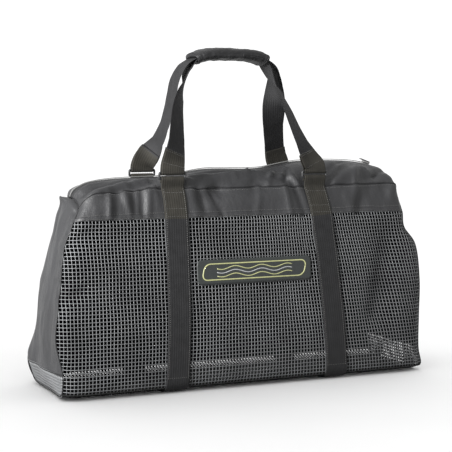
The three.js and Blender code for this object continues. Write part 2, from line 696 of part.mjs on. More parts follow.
function addHandles() {
  for (const sideY of [-1, 1]) {
    const path = handlePath(sideY);
    const start = handleEnd(path, -1, sideY).reverse();
    const end = handleEnd([...path].reverse(), 1, sideY);
    const whole = [...start, ...path, ...end];
    let previous = null;
    const ribs = whole.map((step, k) => {
      const across = step.across.clone();
      if (previous && across.dot(previous) < 0) across.negate();
      previous = across;
      const ahead = whole[Math.min(k + 1, whole.length - 1)].point;
      const along = ahead.clone().sub(whole[Math.max(k - 1, 0)].point);
      const out = step.out.clone();
      if (across.clone().cross(out).dot(along) < 0) out.negate();
      const face = step.point.clone().addScaledVector(out, webbingThickness / 2);
      const left = face.clone().addScaledVector(across, -webbingWidth / 2);
      const right = face.clone().addScaledVector(across, webbingWidth / 2);
      return { left, right, out };
    });
    bag.add(strip((sideY < 0 ? "front" : "back") + "_handle", ribs, webbingThickness, webbing));
  }
}

// A point of a flattened oval: exponent 2 is an ellipse, and a higher one comes closer to a rectangle.
function oval(angle, halfWidth, halfHeight, exponent) {
  const c = Math.cos(angle);
  const s = Math.sin(angle);
  const radius = (Math.abs(c) ** exponent + Math.abs(s) ** exponent) ** (-1 / exponent);
  return [halfWidth * radius * c, halfHeight * radius * s];
}

function addGrip() {
  const stackHalf = webbingThickness + stackGap / 2;
  const roomHeight = stackHalf + wrapClearance;
  const roomWidth = webbingWidth / 2 + 2 * wrapClearance;
  const slit = seamGap / 2 / (gripThickness / 2);
  const angles = evenly(-Math.PI / 2 + slit, Math.PI * 1.5 - slit, 16);
  const section = (halfWidth, halfHeight, exponent, flare) =>
    gripShares.map((share) =>
      angles.map((angle) => {
        const mouth = flare * share ** 6;
        const [y, z] = oval(angle, halfWidth + mouth, halfHeight + mouth, exponent);
        const slope = gripSlope(share);
        const middle = gripPoint(share);
        return new THREE.Vector3(middle.x - z * Math.sin(slope), y, middle.z + z * Math.cos(slope));
      }),
    );
  const outer = section(gripWidth / 2, gripThickness / 2, 2.6, 0);
  const inner = section(roomWidth, roomHeight, 8, wrapMouth);
  bag.add(wall("grip_wrap", outer, inner, nylon));
}

function addZip() {
  const chainHalf = zipChainWidth / 2 / zipTapeWidth;
  const chainSurface = (u, v) =>
    bodyPoint(u, v).addScaledVector(outward(bodyPoint, u, v), seamGap + zipChainThickness);
  const chainPlaces = [ridgeLine - chainHalf, ridgeLine + chainHalf];
  const chain = sheet(
    "zip_chain",
    chainSurface,
    coarseColumns,
    chainPlaces,
    zipChainThickness,
    zipTeeth,
    [seamGap, seamGap, 0, 0],
  );
  const seat = chainSurface(sliderPlace, ridgeLine);
  const ahead = chainSurface(sliderPlace - probe, ridgeLine);
  const lean = Math.atan2(seat.z - ahead.z, seat.x - ahead.x);
  const sliderShape = new THREE.BoxGeometry(sliderLength, sliderWidth, sliderThickness);
  const slider = new THREE.Mesh(sliderShape, zipTeeth);
  slider.name = "zip_slider";
  slider.position.set(0, 0, seamGap + sliderThickness / 2);
  const pullShape = new THREE.BoxGeometry(pullLength, pullWidth, pullThickness);
  const pull = new THREE.Mesh(pullShape, plastic);
  pull.name = "zip_pull";
  pull.position.set((sliderLength - pullLength) / 2, 0, 2 * seamGap + sliderThickness + pullThickness / 2);
  const seated = new THREE.Group();
  seated.position.copy(seat);
  seated.rotation.y = -lean;
  seated.add(slider, pull);
  bag.add(chain, seated);
}

// The front line at which the wall passes a height, at u.
function lineAtHeight(u, height) {
  let low = cornerLine;
  let high = lastWallLine;
  for (let k = 0; k < 40; k++) {
    const middle = (low + high) / 2;
    if (bodyPoint(u, middle).z < height) low = middle;
    else high = middle;
  }
  return (low + high) / 2;
}

function addPatch() {
  const surface = (x, height) => {
    const line = lineAtHeight(x / halfLength, height);
    const u = uAt(x, line);
    return bodyPoint(u, line).addScaledVector(outward(bodyPoint, u, line), seamGap * 2 + patchThickness);
  };
  const columns = evenly(patchShift - patchWidth / 2, patchShift + patchWidth / 2, 8);
  const middle = patchHeightAboveBottom + bottomLift;
  const rows = evenly(middle - patchHeight / 2, middle + patchHeight / 2, 2);
  bag.add(sheet("patch", surface, columns, rows, patchThickness, patchCloth, everyTrim));
}

addBody();
addEnds();
addStraps();
addRings();
addHandles();
addGrip();
addZip();
addPatch();

// The origin goes under the middle of the whole bag.
const box = new THREE.Box3().setFromObject(bag);
bag.position.set(-(box.min.x + box.max.x) / 2, -(box.min.y + box.max.y) / 2, -box.min.z);

export default bag;
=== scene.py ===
"""A mesh gear bag: net front and bottom, nylon yoke, back, ends and lid, webbing straps and handles.

Shapes are worked out in millimetres in the part's own frame (+X along the bag, -Y the front, +Z up) and
turned into metres when a piece is made.
"""
import math
from collections import namedtuple

import bpy
import numpy as np
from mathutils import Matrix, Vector


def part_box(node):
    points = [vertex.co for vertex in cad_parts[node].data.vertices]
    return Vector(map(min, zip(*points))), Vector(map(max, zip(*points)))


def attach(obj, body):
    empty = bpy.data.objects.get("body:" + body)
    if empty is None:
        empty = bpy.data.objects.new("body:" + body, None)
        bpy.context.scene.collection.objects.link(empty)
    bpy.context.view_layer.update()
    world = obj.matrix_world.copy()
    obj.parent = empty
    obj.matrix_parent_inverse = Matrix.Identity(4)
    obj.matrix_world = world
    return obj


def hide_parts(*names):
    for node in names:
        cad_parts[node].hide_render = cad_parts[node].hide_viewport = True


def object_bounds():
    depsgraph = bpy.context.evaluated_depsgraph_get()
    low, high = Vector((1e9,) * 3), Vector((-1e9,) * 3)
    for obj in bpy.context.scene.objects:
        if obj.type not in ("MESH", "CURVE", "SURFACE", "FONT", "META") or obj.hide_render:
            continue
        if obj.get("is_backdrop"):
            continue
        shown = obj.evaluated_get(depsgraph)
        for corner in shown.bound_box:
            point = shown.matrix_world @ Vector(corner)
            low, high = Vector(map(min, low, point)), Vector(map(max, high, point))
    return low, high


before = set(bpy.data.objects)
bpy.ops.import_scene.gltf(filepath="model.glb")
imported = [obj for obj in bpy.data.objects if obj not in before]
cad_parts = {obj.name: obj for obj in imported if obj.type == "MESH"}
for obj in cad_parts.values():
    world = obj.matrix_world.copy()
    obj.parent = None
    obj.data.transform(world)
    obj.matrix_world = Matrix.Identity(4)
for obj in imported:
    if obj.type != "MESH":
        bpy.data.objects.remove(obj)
cad_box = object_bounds()

# Body
BODY_LENGTH = 848
BODY_HEIGHT = 456
BOTTOM_DEPTH = 250
YOKE_EDGE_HEIGHT = 350
ZIP_TAPE_WIDTH = 42
CLOTH_THICKNESS = 1.4
GUSSET_BULGE = 12
HALF_LENGTH = BODY_LENGTH / 2
HALF_DEPTH = BOTTOM_DEPTH / 2
TOP_RISE = BODY_HEIGHT - YOKE_EDGE_HEIGHT

# Net
NET_PITCH_ALONG = 7.3
NET_PITCH_UP = 7.6
NET_LEAN = 11
STRAND_WIDTH = 1.6
STRAND_THICKNESS = 1.3
BOTTOM_STRAND_WIDTH = 5.4

# Webbing and rings
WEBBING_WIDTH = 50
WEBBING_THICKNESS = 2
WEBBING_RIBS = 10
STRAP_CLEARANCE = 0.8
STRAP_SPACING = 326
STRAP_LEAN_LEFT = 8
STRAP_LEAN_RIGHT = 34
RING_LIFT = 26
RING_SETBACK = 41
RING_HEIGHT = 17
RING_BAR = 4.5
RING_DEPTH = 4
RING_SIDE_ROOM = 1.2
RING_CORNER_RADIUS = 5
RING_SIDES = 12
RING_SQUARENESS = 0.75
LOOP_CLEARANCE = 0.4
STRAP_TAIL = 9
BOTTOM_LIFT = WEBBING_THICKNESS + STRAP_CLEARANCE

# Handles and grip
GRIP_TOP_HEIGHT = 700
GRIP_LENGTH = 164
GRIP_WIDTH = 66
GRIP_THICKNESS = 26
GRIP_ARCH = 12
HANDLE_TAIL = 45
STACK_GAP = 1.4
WRAP_CLEARANCE = 0.9

# Zip
TOOTH_PITCH = 2.6
TOOTH_SIZE = (1.5, 4.2, 1.9)
TOOTH_LIFT = 1.2
TOOTH_SPREAD = 0.55

# Patch
PATCH_WIDTH = 262
PATCH_HEIGHT = 50
PATCH_THICKNESS = 1.2
PATCH_ABOVE_BOTTOM = 239
PATCH_SHIFT = 5
PATCH_CORNER = 10
PATCH_LIFT = 0.5
PRINT_STEP = 2.5

# Trim
PIPING = (2.6, 2.2)
HEM_BAND = (9, 1.1)
BINDING = (3.2, 1.6)
STITCH_PITCH = 4.2
STITCH_LENGTH = 3.2
STITCH_INSET = 3.5
STITCH_HALF_WIDTH = 0.45
STITCH_HALF_HEIGHT = 0.4

# Lines that run the length of the body, from the middle of the bottom up to the zip. depth is a share of
# half the bottom's depth and height a share of the yoke edge's height. front and back say where the wall
# ends at the left and at the right, as shares of half the length.
Line = namedtuple("Line", "depth height front back")
WALL_LINES = [
    Line(0, 0, (0.945, 0.98), (0.945, 0.98)),
    Line(0.45, 0, (0.95, 0.985), (0.945, 0.98)),
    Line(0.7, 0, (0.955, 0.99), (0.945, 0.98)),
    Line(0.965, 0.026, (0.965, 1), (0.95, 0.98)),
    Line(1.03, 0.137, (0.965, 0.975), (0.975, 0.985)),
    Line(1.03, 0.34, (0.998, 0.975), (0.93, 0.965)),
    Line(0.99, 0.57, (0.974, 0.983), (0.912, 0.965)),
    Line(0.93, 0.794, (0.952, 0.962), (0.866, 0.945)),
    Line(0.885, 0.9, (0.925, 0.905), (0.845, 0.92)),
    Line(0.85, 1, (0.9, 0.91), (0.83, 0.905)),
]
# For the two lines of the lid, height is the share of the way from the lid's seam to the zip.
LID_LINES = [
    Line(0.66, 0, (0.87, 0.902), (0.818, 0.895)),
    Line(0.42, 0.72, (0.86, 0.893), (0.835, 0.89)),
]
ZIP_LINE = Line(0, 1, (0.855, 0.885), (0.85, 0.885))
CORNER = 3
HEM = 4
YOKE_EDGE = len(WALL_LINES) - 1
LID_SEAM = len(WALL_LINES)
ZIP_EDGE = LID_SEAM + len(LID_LINES)
LINE_COUNT = 2 * ZIP_EDGE + 1
RIDGE = LINE_COUNT / 2

# Stations along the length: place as a share of half the length, depth factors low and high on the wall,
# and the heights of the lid's seam and of the zip as shares of the height above the yoke edge.
STATIONS = {
    "at": [-1, -0.95, -0.87, -0.72, -0.4, -0.15, 0.18, 0.42, 0.7, 0.87, 0.95, 1],
    "low": [0.86, 0.955, 0.995, 1, 1, 1, 1, 1, 1, 0.995, 0.96, 0.87],
    "high": [0.88, 0.96, 1, 1, 1, 1, 1, 1, 1, 1, 0.96, 0.88],
    "seam": [0.25, 0.36, 0.46, 0.54, 0.55, 0.55, 0.54, 0.53, 0.56, 0.55, 0.5, 0.4],
    "ridge": [0.42, 0.52, 0.64, 0.71, 0.75, 0.87, 0.87, 0.99, 1, 0.94, 0.82, 0.62],
}
STATIONS = {name: np.array(values, float) for name, values in STATIONS.items()}

# Folds of the front, each a valley along a straight line, or a ridge where depth is negative. x is a
# share of half the length, z and width shares of the height, depth a share of half the depth.
Fold = namedtuple("Fold", "from_x from_z to_x to_z width depth")
FRONT_FOLDS = [
    (-0.24, 0.85, -0.13, 0.885, 0.035, 0.05),
    (-0.13, 0.885, 0.07, 0.9, 0.035, 0.07),
    (0.07, 0.9, 0.21, 0.935, 0.035, 0.05),
    (0.62, 0.8, 0.8, 0.9, 0.045, 0.06),
    (0.6, 0.91, 0.82, 0.96, 0.035, -0.04),
    (0.7, 0.3, 0.78, 0.62, 0.07, 0.08),
    (-0.7, 0.25, -0.2, 0.4, 0.16, -0.03),
    (-0.93, 0.66, -0.8, 0.72, 0.03, 0.05),
    (-0.98, 0.42, -0.87, 0.46, 0.03, 0.05),
]
FRONT_FOLDS = [Fold(*row) for row in FRONT_FOLDS]
# Folds of the two ends. across runs from the front seam, 0, to the back seam, 1.
EndFold = namedtuple("EndFold", "side across from_z to_z width depth")
END_FOLDS = [
    EndFold(-1, 0.22, 0.25, 0.78, 0.11, 0.06),
    EndFold(-1, 0.7, 0.1, 0.5, 0.14, 0.05),
    EndFold(1, 0.5, 0.15, 0.7, 0.16, 0.08),
]

# The legs of the handles from their rings to the grip. The first row is at the ring, and LEG_STRAIGHT is
# the flat length above it. y is a share of the ring's distance from the middle and z a share of the way
# from the end of the flat length to the grip. Each leg has its share of half the strap spacing and its turn
# in degrees, 0 where it faces the front or back and 90 or -90 where it faces up.
LEG_STRAIGHT = 12
Leg = namedtuple("Leg", "y z front_left front_right back_left back_right")
LEG_ROWS = [
    (1, 0, (1, 0), (1, 0), (1, 0), (1, 0)),
    (0.985, 0, (0.994, 0), (0.992, 0), (0.991, 0), (0.993, 0)),
    (0.94, 0.074, (0.965, -12), (0.94, -10), (0.925, 24), (0.95, -4)),
    (0.82, 0.221, (0.91, -29), (0.855, -30), (0.8, 76), (0.9, -8)),
    (0.68, 0.368, (0.87, -36), (0.79, -38), (0.735, 88), (0.85, -4)),
    (0.52, 0.516, (0.82, -42), (0.74, -43), (0.71, 90), (0.81, 16)),
    (0.35, 0.653, (0.745, -51), (0.69, -51), (0.705, 90), (0.775, 54)),
    (0.18, 0.789, (0.655, -71), (0.63, -71), (0.7, 90), (0.73, 80)),
    (0.07, 0.883, (0.6, -86), (0.585, -86), (0.665, 90), (0.675, 90)),
    (0.01, 0.949, (0.55, -90), (0.545, -90), (0.61, 90), (0.61, 90)),
]
LEG_ROWS = [Leg(*row) for row in LEG_ROWS]
LAY_FROM = 45

# Camera, in metres
CAMERA_TARGET = Vector((-0.00525, 0.001, 0.324))
CAMERA_DISTANCE = 2.88
CAMERA_YAW = math.radians(25)
CAMERA_RISE = math.radians(4.5)
SENSOR_WIDTH = 36.0
FOCAL_LENGTH = 107.68

# The part's frame lies between the four rings, which stand evenly about the middle of the bag.
ring_corners = [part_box(f"ring_{depth}_{end}") for depth in ("front", "back") for end in ("left", "right")]
ring_middles = np.array([(np.array(low) + np.array(high)) / 2 for low, high in ring_corners])
FRAME_SHIFT = np.array([ring_middles[:, 0].mean(), ring_middles[:, 1].mean(), 0])


def to_metres(points):
    return np.asarray(points) * 0.001 + FRAME_SHIFT


# Smooth noise from a fixed grid of random values, from -1 to 1
GRID = 64
LATTICE = np.random.default_rng(11).uniform(-1, 1, (GRID, GRID))


def noise(x, y):
    x, y = np.broadcast_arrays(x, y)
    i, j = np.floor(x).astype(int), np.floor(y).astype(int)
    fx, fy = x - i, y - j
    fx, fy = fx * fx * (3 - 2 * fx), fy * fy * (3 - 2 * fy)
    corner = lambda a, b: LATTICE[(i + a) % GRID, (j + b) % GRID]
    low = corner(0, 0) * (1 - fx) + corner(1, 0) * fx
    high = corner(0, 1) * (1 - fx) + corner(1, 1) * fx
    return low * (1 - fy) + high * fy


def smooth_step(low, high, x):
    t = np.clip((x - low) / (high - low), 0, 1)
    return t * t * (3 - 2 * t)


def unit(vectors):
    return vectors / np.maximum(np.linalg.norm(vectors, axis=-1, keepdims=True), 1e-9)


def lengths(path):
    """The distance along a path at each of its points."""
    return np.r_[0, np.cumsum(np.linalg.norm(np.diff(path, axis=0), axis=1))]


def tangents(path):
    return unit(np.gradient(path, axis=0))


def square_to(tangent, across):
    """The width direction, turned square to the tangent."""
    return unit(across - tangent * np.sum(across * tangent, -1, keepdims=True))


def spaced(path, values, step):
    """Values that are given along a path, at even distances along it."""
    length = lengths(path)
    places = np.linspace(0, length[-1], int(length[-1] / step) + 1)
    return np.stack([np.interp(places, length, value) for value in values.T], -1)


def inside_of(points):
    """A place well inside the bag for each point of its skin, to tell out from in."""
    return points * [0.5, 0, 0] + [0, 0, BODY_HEIGHT / 2]


# The body's surface
def column(name, u):
    at, values = STATIONS["at"], STATIONS[name]
    low, high = np.r_[at[:1], at[:-1]], np.r_[at[1:], at[-1:]]
    slopes = (np.r_[values[1:], values[-1:]] - np.r_[values[:1], values[:-1]]) / (high - low)
    k = np.clip(np.searchsorted(at[1:], u, side="left"), 0, len(at) - 2)
    span = at[k + 1] - at[k]
    t = (u - at[k]) / span
    ends = (2 * t**3 - 3 * t**2 + 1) * values[k] + (-2 * t**3 + 3 * t**2) * values[k + 1]
    return ends + span * ((t**3 - 2 * t**2 + t) * slopes[k] + (t**3 - t**2) * slopes[k + 1])


def line_point(line, u, side):
    left, right = line.front if side < 0 else line.back
    x = u * HALF_LENGTH * np.where(u < 0, left, right)
    if line is ZIP_LINE:
        y = np.full_like(x, side * ZIP_TAPE_WIDTH / 2)
        z = YOKE_EDGE_HEIGHT + TOP_RISE * column("ridge", u)
    elif line in LID_LINES:
        seam, ridge = column("seam", u), column("ridge", u)
        y = side * HALF_DEPTH * line.depth * column("high", u)
        z = YOKE_EDGE_HEIGHT + TOP_RISE * (seam + (ridge - seam) * line.height)
    else:
        low, high = column("low", u), column("high", u)
        y = side * HALF_DEPTH * line.depth * (low + (high - low) * line.height)
        z = np.full_like(x, line.height * YOKE_EDGE_HEIGHT)
    return np.stack([x, y, z + BOTTOM_LIFT], -1)


def centripetal(p0, p1, p2, p3, t):
    """A point of the centripetal spline between p1 and p2."""
    distance = lambda a, b: np.maximum(np.sum((b - a) ** 2, -1, keepdims=True) ** 0.25, 1e-4)
    d0, d1, d2 = distance(p0, p1), distance(p1, p2), distance(p2, p3)
    t = t[..., None]
    m1 = ((p1 - p0) / d0 - (p2 - p0) / (d0 + d1) + (p2 - p1) / d1) * d1
    m2 = ((p2 - p1) / d1 - (p3 - p1) / (d1 + d2) + (p3 - p2) / d2) * d1
    a = -3 * p1 + 3 * p2 - 2 * m1 - m2
    b = 2 * p1 - 2 * p2 + m1 + m2
    return p1 + t * (m1 + t * (a + t * b))


def front_fold_depth(x, z):
    depth = np.zeros_like(x)
    for fold in FRONT_FOLDS:
        ax, az = fold.from_x * HALF_LENGTH, fold.from_z * BODY_HEIGHT
        dx, dz = fold.to_x * HALF_LENGTH - ax, fold.to_z * BODY_HEIGHT - az
        t = np.clip(((x - ax) * dx + (z - az) * dz) / (dx * dx + dz * dz), 0, 1)
        away = np.hypot(x - ax - t * dx, z - az - t * dz)
        depth += fold.depth * HALF_DEPTH * np.exp(-((away / (fold.width * BODY_HEIGHT)) ** 2))
    return depth


def body_point(u, v):
    """The plain outer surface. v counts the lines from the middle of the bottom up the front."""
    u, v = np.broadcast_arrays(np.asarray(u, float), np.asarray(v, float))
    turn = v.ravel() % LINE_COUNT
    k = np.floor(turn).astype(int)
    different, place = np.unique(u.ravel(), return_inverse=True)
    lines = [*WALL_LINES, *LID_LINES, ZIP_LINE]
    front = [line_point(line, different, -1) for line in lines]
    back = [line_point(line, different, 1) for line in lines[1:]]
    loop = np.stack(front + back[::-1], 1)
    near = [loop[place, (k + step) % LINE_COUNT] for step in (-1, 0, 1, 2)]
    p = centripetal(*near, turn - k)
    p[:, 2] = np.maximum(p[:, 2], BOTTOM_LIFT)
    rows = v.ravel()
    fade = np.minimum(1, np.minimum((rows - CORNER) / 2, (ZIP_EDGE - rows) / 1.5))
    fade = np.where((p[:, 1] < 0) & (rows > CORNER) & (rows < ZIP_EDGE), np.maximum(fade, 0), 0)
    p[:, 1] += front_fold_depth(p[:, 0], p[:, 2] - BOTTOM_LIFT) * fade
    return p.reshape(*u.shape, 3)


def mirrored(v):
    return LINE_COUNT - v


def u_at(x, v):
    """The u at which the surface passes x on line v."""
    u = np.asarray(x / HALF_LENGTH, float)
    for _ in range(6):
        here = body_point(u, v)[..., 0]
        u = u * np.where(np.abs(here) > 1e-6, x / np.where(np.abs(here) > 1e-6, here, 1), 1)
    return u


def outward(surface, a, b, probe=1e-3):
    along = surface(a + probe, b) - surface(a - probe, b)
    over = surface(a, b + probe) - surface(a, b - probe)
    normal = unit(np.cross(along, over))
    p = surface(a, b)
    side = np.sum(normal * (p - inside_of(p)), -1, keepdims=True)
    return np.where(side < 0, -normal, normal)


def strap_middle(side_x, z):
    lean = STRAP_LEAN_LEFT if side_x < 0 else STRAP_LEAN_RIGHT
    height = np.maximum(0, z - BOTTOM_LIFT) / BODY_HEIGHT
    return side_x * (STRAP_SPACING / 2 + lean * np.maximum(0, 1 - height / 0.88))


# Small creases of the cloth above the net, each a valley along a straight line of x in millimetres and
# line number, or a ridge where depth is negative. width and depth are in millimetres.
Crease = namedtuple("Crease", "from_x from_v to_x to_v width depth")
CREASES = [
    (-330, 10.1, -205, 11.2, 11, -5),
    (-300, 10.0, -215, 10.5, 7, 3),
    (-290, 9.2, -278, 10.0, 9, 2.5),
    (-222, 9.1, -214, 9.9, 6, -2.5),
    (-118, 9.0, -122, 9.9, 9, -2.5),
    (-98, 9.3, -104, 10.1, 7, 2.5),
    (95, 9.1, 92, 10.0, 6, -3),
    (128, 9.0, 112, 10.4, 9, 3.5),
    (140, 9.6, 118, 10.6, 8, -3),
    (215, 10.2, 300, 11.0, 9, -3.5),
    (235, 10.0, 330, 10.5, 9, 3),
    (290, 9.4, 370, 10.6, 12, -3),
    (-130, 10.5, 60, 11.3, 10, -3),
    (-60, 11.2, 110, 11.6, 8, 2.5),
    (-345, 10.6, -240, 11.7, 8, 4),
    (-352, 11.2, -290, 11.9, 7, -3.5),
    (-250, 9.4, -247, 9.95, 7, 3),
    (-196, 10.6, -120, 11.7, 9, 3.5),
    (-110, 11.0, 20, 11.2, 8, -4),
    (20, 11.2, 100, 10.8, 8, -3.5),
    (-100, 11.5, 10, 11.65, 6, 3),
    (200, 10.5, 250, 11.6, 7, 3.5),
    (262, 10.2, 290, 11.3, 6, -3.5),
    (318, 10.4, 352, 11.2, 7, 3.5),
    (345, 9.6, 385, 10.3, 7, -3),
    (-305, 9.2, -300, 9.9, 6, -3.5),
    (-262, 9.2, -268, 9.95, 6, -3),
    (-235, 9.2, -231, 9.9, 5, 2.5),
    (-60, 9.1, -75, 9.9, 7, 3),
    (20, 9.2, 35, 9.9, 7, -2.5),
    (60, 10.2, 85, 11.4, 6, -3.5),
    (100, 10.3, 118, 11.2, 5, 3.5),
    (240, 9.1, 262, 9.9, 8, -2.5),
    (-200, 10.15, -120, 10.6, 6, -3.5),
]
CREASES = [Crease(*row) for row in CREASES]
CREASE_STRENGTH = 1.35
LINE_SPACING = 36
CORNER_REACH = 30


def body_relief(p, u, v):
    """How far the real cloth stands out from the plain surface, in millimetres."""
    x, z = p[..., 0], p[..., 2]
    near_v = np.minimum(v, mirrored(v))
    is_front = v <= RIDGE
    cloth = np.where(is_front, smooth_step(8.7, 9.2, near_v), smooth_step(2.5, 4, near_v))
    height = near_v * LINE_SPACING
    soft = 2.8 * noise(x / 62 + 5, height / 170) + 1.6 * noise(x / 27 + height / 90, height / 80 + 9)
    fine = 0.6 * noise(x / 11 + 20, height / 23)
    ridged = 4.4 * (np.abs(noise(x / 48 + height / 130 + 3, height / 75 - x / 300)) - 0.4)
    loose = 2.2 * noise(x / 120 + 30, z / 95) + 0.9 * noise(x / 46 + 8, z / 60)
    relief = cloth * (soft + fine - ridged) + (1 - cloth) * loose
    for crease in CREASES:
        dx, dh = crease.to_x - crease.from_x, (crease.to_v - crease.from_v) * LINE_SPACING
        ax, ah = x - crease.from_x, (v - crease.from_v) * LINE_SPACING
        t = np.clip((ax * dx + ah * dh) / (dx * dx + dh * dh), 0, 1)
        away = np.hypot(ax - t * dx, ah - t * dh) / crease.width
        relief = relief - CREASE_STRENGTH * crease.depth * np.exp(-(away**2)) * is_front
    tucks = np.exp(-(((near_v - YOKE_EDGE) * LINE_SPACING / 7) ** 2)) * is_front
    relief = relief + 0.5 * np.sin(x * 2 * math.pi / 11 + 2 * noise(x / 40, 0 * x)) * tucks
    ends = np.minimum(1, (1 - np.abs(u)) / 0.05)
    zip_side = smooth_step(0, 0.5, np.abs(v - RIDGE) - 0.4)
    straps = 1
    for side_x in (-1, 1):
        away = np.abs(x - strap_middle(side_x, z)) - WEBBING_WIDTH / 2
        straps = straps * smooth_step(2, 14, away)
    low = smooth_step(CORNER, CORNER + 1, near_v)
    return relief * np.clip(ends, 0, 1) * zip_side * straps * low


def corner_pull(side, v):
    """How the seam at one end draws in, so that the cloth goes round it softly."""
    v = np.asarray(v, float)
    end = np.full_like(v, side)
    face = outward(body_point, end, v)
    depth = 2 + 5 * smooth_step(7.5, 10, np.minimum(v, mirrored(v)))
    return -depth[..., None] * (face + np.array([side, 0, 0]))


def skin(u, v):
    """The cloth's outer surface with its creases and soft corners."""
    p = body_point(u, v)
    u, v = np.broadcast_arrays(np.asarray(u, float), np.asarray(v, float))
    away = (1 - np.abs(u)) * HALF_LENGTH / CORNER_REACH
    near = np.clip(1 - away, 0, 1) ** 2
    pull = np.zeros_like(p)
    for side in (-1, 1):
        rows = (near > 0) & (u * side > 0)
        pull[rows] = corner_pull(side, v[rows]) * near[rows][:, None]
    return p + outward(body_point, u, v) * body_relief(p, u, v)[..., None] + pull


# Puckers of the two ends: place across and up as shares, half sizes and the depth in millimetres
Pucker = namedtuple("Pucker", "side across height half_across half_height depth")
PUCKERS = [
    (-1, 0.07, 0.80, 0.09, 0.018, 6),
    (-1, 0.10, 0.845, 0.08, 0.016, 5),
    (-1, 0.05, 0.755, 0.07, 0.016, 6),
    (-1, 0.05, 0.70, 0.06, 0.014, 4),
    (-1, 0.08, 0.505, 0.10, 0.012, 6),
    (-1, 0.05, 0.585, 0.06, 0.012, 4),
    (-1, 0.04, 0.44, 0.05, 0.012, 3),
    (-1, 0.55, 0.62, 0.04, 0.25, 4),
    (-1, 0.88, 0.30, 0.05, 0.20, 4),
    (1, 0.08, 0.75, 0.10, 0.02, 5),
    (1, 0.30, 0.45, 0.05, 0.25, 5),
    (1, 0.75, 0.55, 0.05, 0.2, 4),
]
PUCKERS = [Pucker(*row) for row in PUCKERS]


def end_point(side, v, across):
    front = body_point(side, v)
    back = body_point(side, mirrored(v))
    across = np.asarray(across, float)
    p = front + (back - front) * across[..., None]
    height = (p[..., 2] - BOTTOM_LIFT) / BODY_HEIGHT
    middle = 4 * across * (1 - across)
    out = GUSSET_BULGE * middle * np.minimum(1, height * 4)
    for fold in END_FOLDS:
        if fold.side != side:
            continue
        along = np.maximum(np.maximum(fold.from_z - height, height - fold.to_z), 0)
        away = np.hypot((across - fold.across) / fold.width, along / 0.12)
        out -= fold.depth * HALF_DEPTH * np.exp(-(away**2)) * np.minimum(1, 2 * middle)
    p[..., 0] += side * out
    return p


def end_skin(side, v, across):
    p = end_point(side, v, across)
    y, z = p[..., 1], p[..., 2]
    height = (z - BOTTOM_LIFT) / BODY_HEIGHT
    relief = 3.2 * noise(y / 42 + 7 * side, z / 190) + 1.6 * noise(y / 20 + z / 140, z / 70 + 4)
    relief += 0.6 * noise(y / 9, z / 26 + 11) - 4.2 * (np.abs(noise(y / 46 + z / 160, z / 90 + 40)) - 0.4)
    for pucker in PUCKERS:
        if pucker.side != side:
            continue
        da = (across - pucker.across) / pucker.half_across
        dh = (height - pucker.height) / pucker.half_height
        relief -= pucker.depth * np.exp(-(da**2) - dh**2)
    edge = np.minimum(np.minimum(across, 1 - across) / 0.05, 1)
    top = np.clip((ZIP_EDGE - v) / 0.5, 0, 1)
    p[..., 0] += side * relief * np.clip(edge, 0, 1) * smooth_step(0.1, 0.16, height) * top
    depth = np.abs(body_point(side, v)[..., 1] - body_point(side, mirrored(v))[..., 1])
    for start, line in ((0, v), (1, mirrored(v))):
        away = np.abs(across - start) * depth / CORNER_REACH
        p = p + corner_pull(side, line) * (np.clip(1 - away, 0, 1) ** 2)[..., None]
    return p


# Meshes
def build(name, vertices, faces, materials, replaces=(), uv=None, face_materials=None, smooth=True):
    """A piece from points in millimetres, arrays of faces with equal corners, and its materials."""
    mesh = bpy.data.meshes.new(name)
    groups = faces if isinstance(faces, list) else [faces]
    sizes = np.concatenate([np.full(len(group), group.shape[1]) for group in groups])
    mesh.vertices.add(len(vertices))
    mesh.vertices.foreach_set("co", to_metres(vertices).astype(np.float32).ravel())
    mesh.loops.add(int(sizes.sum()))
    mesh.loops.foreach_set("vertex_index", np.concatenate([g.ravel() for g in groups]).astype(np.int32))
    mesh.polygons.add(len(sizes))
    mesh.polygons.foreach_set("loop_start", np.r_[0, np.cumsum(sizes)[:-1]].astype(np.int32))
    mesh.polygons.foreach_set("loop_total", sizes.astype(np.int32))
    mesh.update(calc_edges=True)
    for material in materials:
        mesh.materials.append(material)
    if face_materials is not None:
        mesh.polygons.foreach_set("material_index", np.asarray(face_materials, dtype=np.int32))
    if uv is not None:
        layer = mesh.uv_layers.new(name="cloth")
        corners = np.empty(len(mesh.loops), dtype=np.int32)
        mesh.loops.foreach_get("vertex_index", corners)
        layer.data.foreach_set("uv", (np.asarray(uv, np.float32)[corners] * 0.001).ravel())
    mesh.polygons.foreach_set("use_smooth", np.full(len(mesh.polygons), smooth))
    mesh.update()
    piece = bpy.data.objects.new(name, mesh)
    bpy.context.scene.collection.objects.link(piece)
    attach(piece, "root")
    if replaces:
        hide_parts(*replaces)
    return piece


def grid_faces(columns, rows):
    i, j = np.meshgrid(np.arange(columns - 1), np.arange(rows - 1), indexing="ij")
    a = i * rows + j
    return np.stack([a, a + rows, a + rows + 1, a + 1], -1).reshape(-1, 4)


def border(columns, rows):
    """The grid's outline as a closed run of point numbers."""
    index = np.arange(columns * rows).reshape(columns, rows)
    return np.r_[index[:-1, 0], index[-1, :-1], index[:0:-1, -1], index[0, :0:-1]]


def metric(grid):
    """Distances along the middle row and the middle column of a grid, as its two map coordinates."""
    middle_row = grid[:, grid.shape[1] // 2]
    middle_column = grid[grid.shape[0] // 2]
    return np.stack(np.meshgrid(lengths(middle_row), lengths(middle_column), indexing="ij"), -1)


def grid_normals(grid):
    normal = unit(np.cross(np.gradient(grid, axis=0), np.gradient(grid, axis=1)))
    facing = np.sum(normal * (grid - inside_of(grid)), -1).mean()
    return normal if facing > 0 else -normal


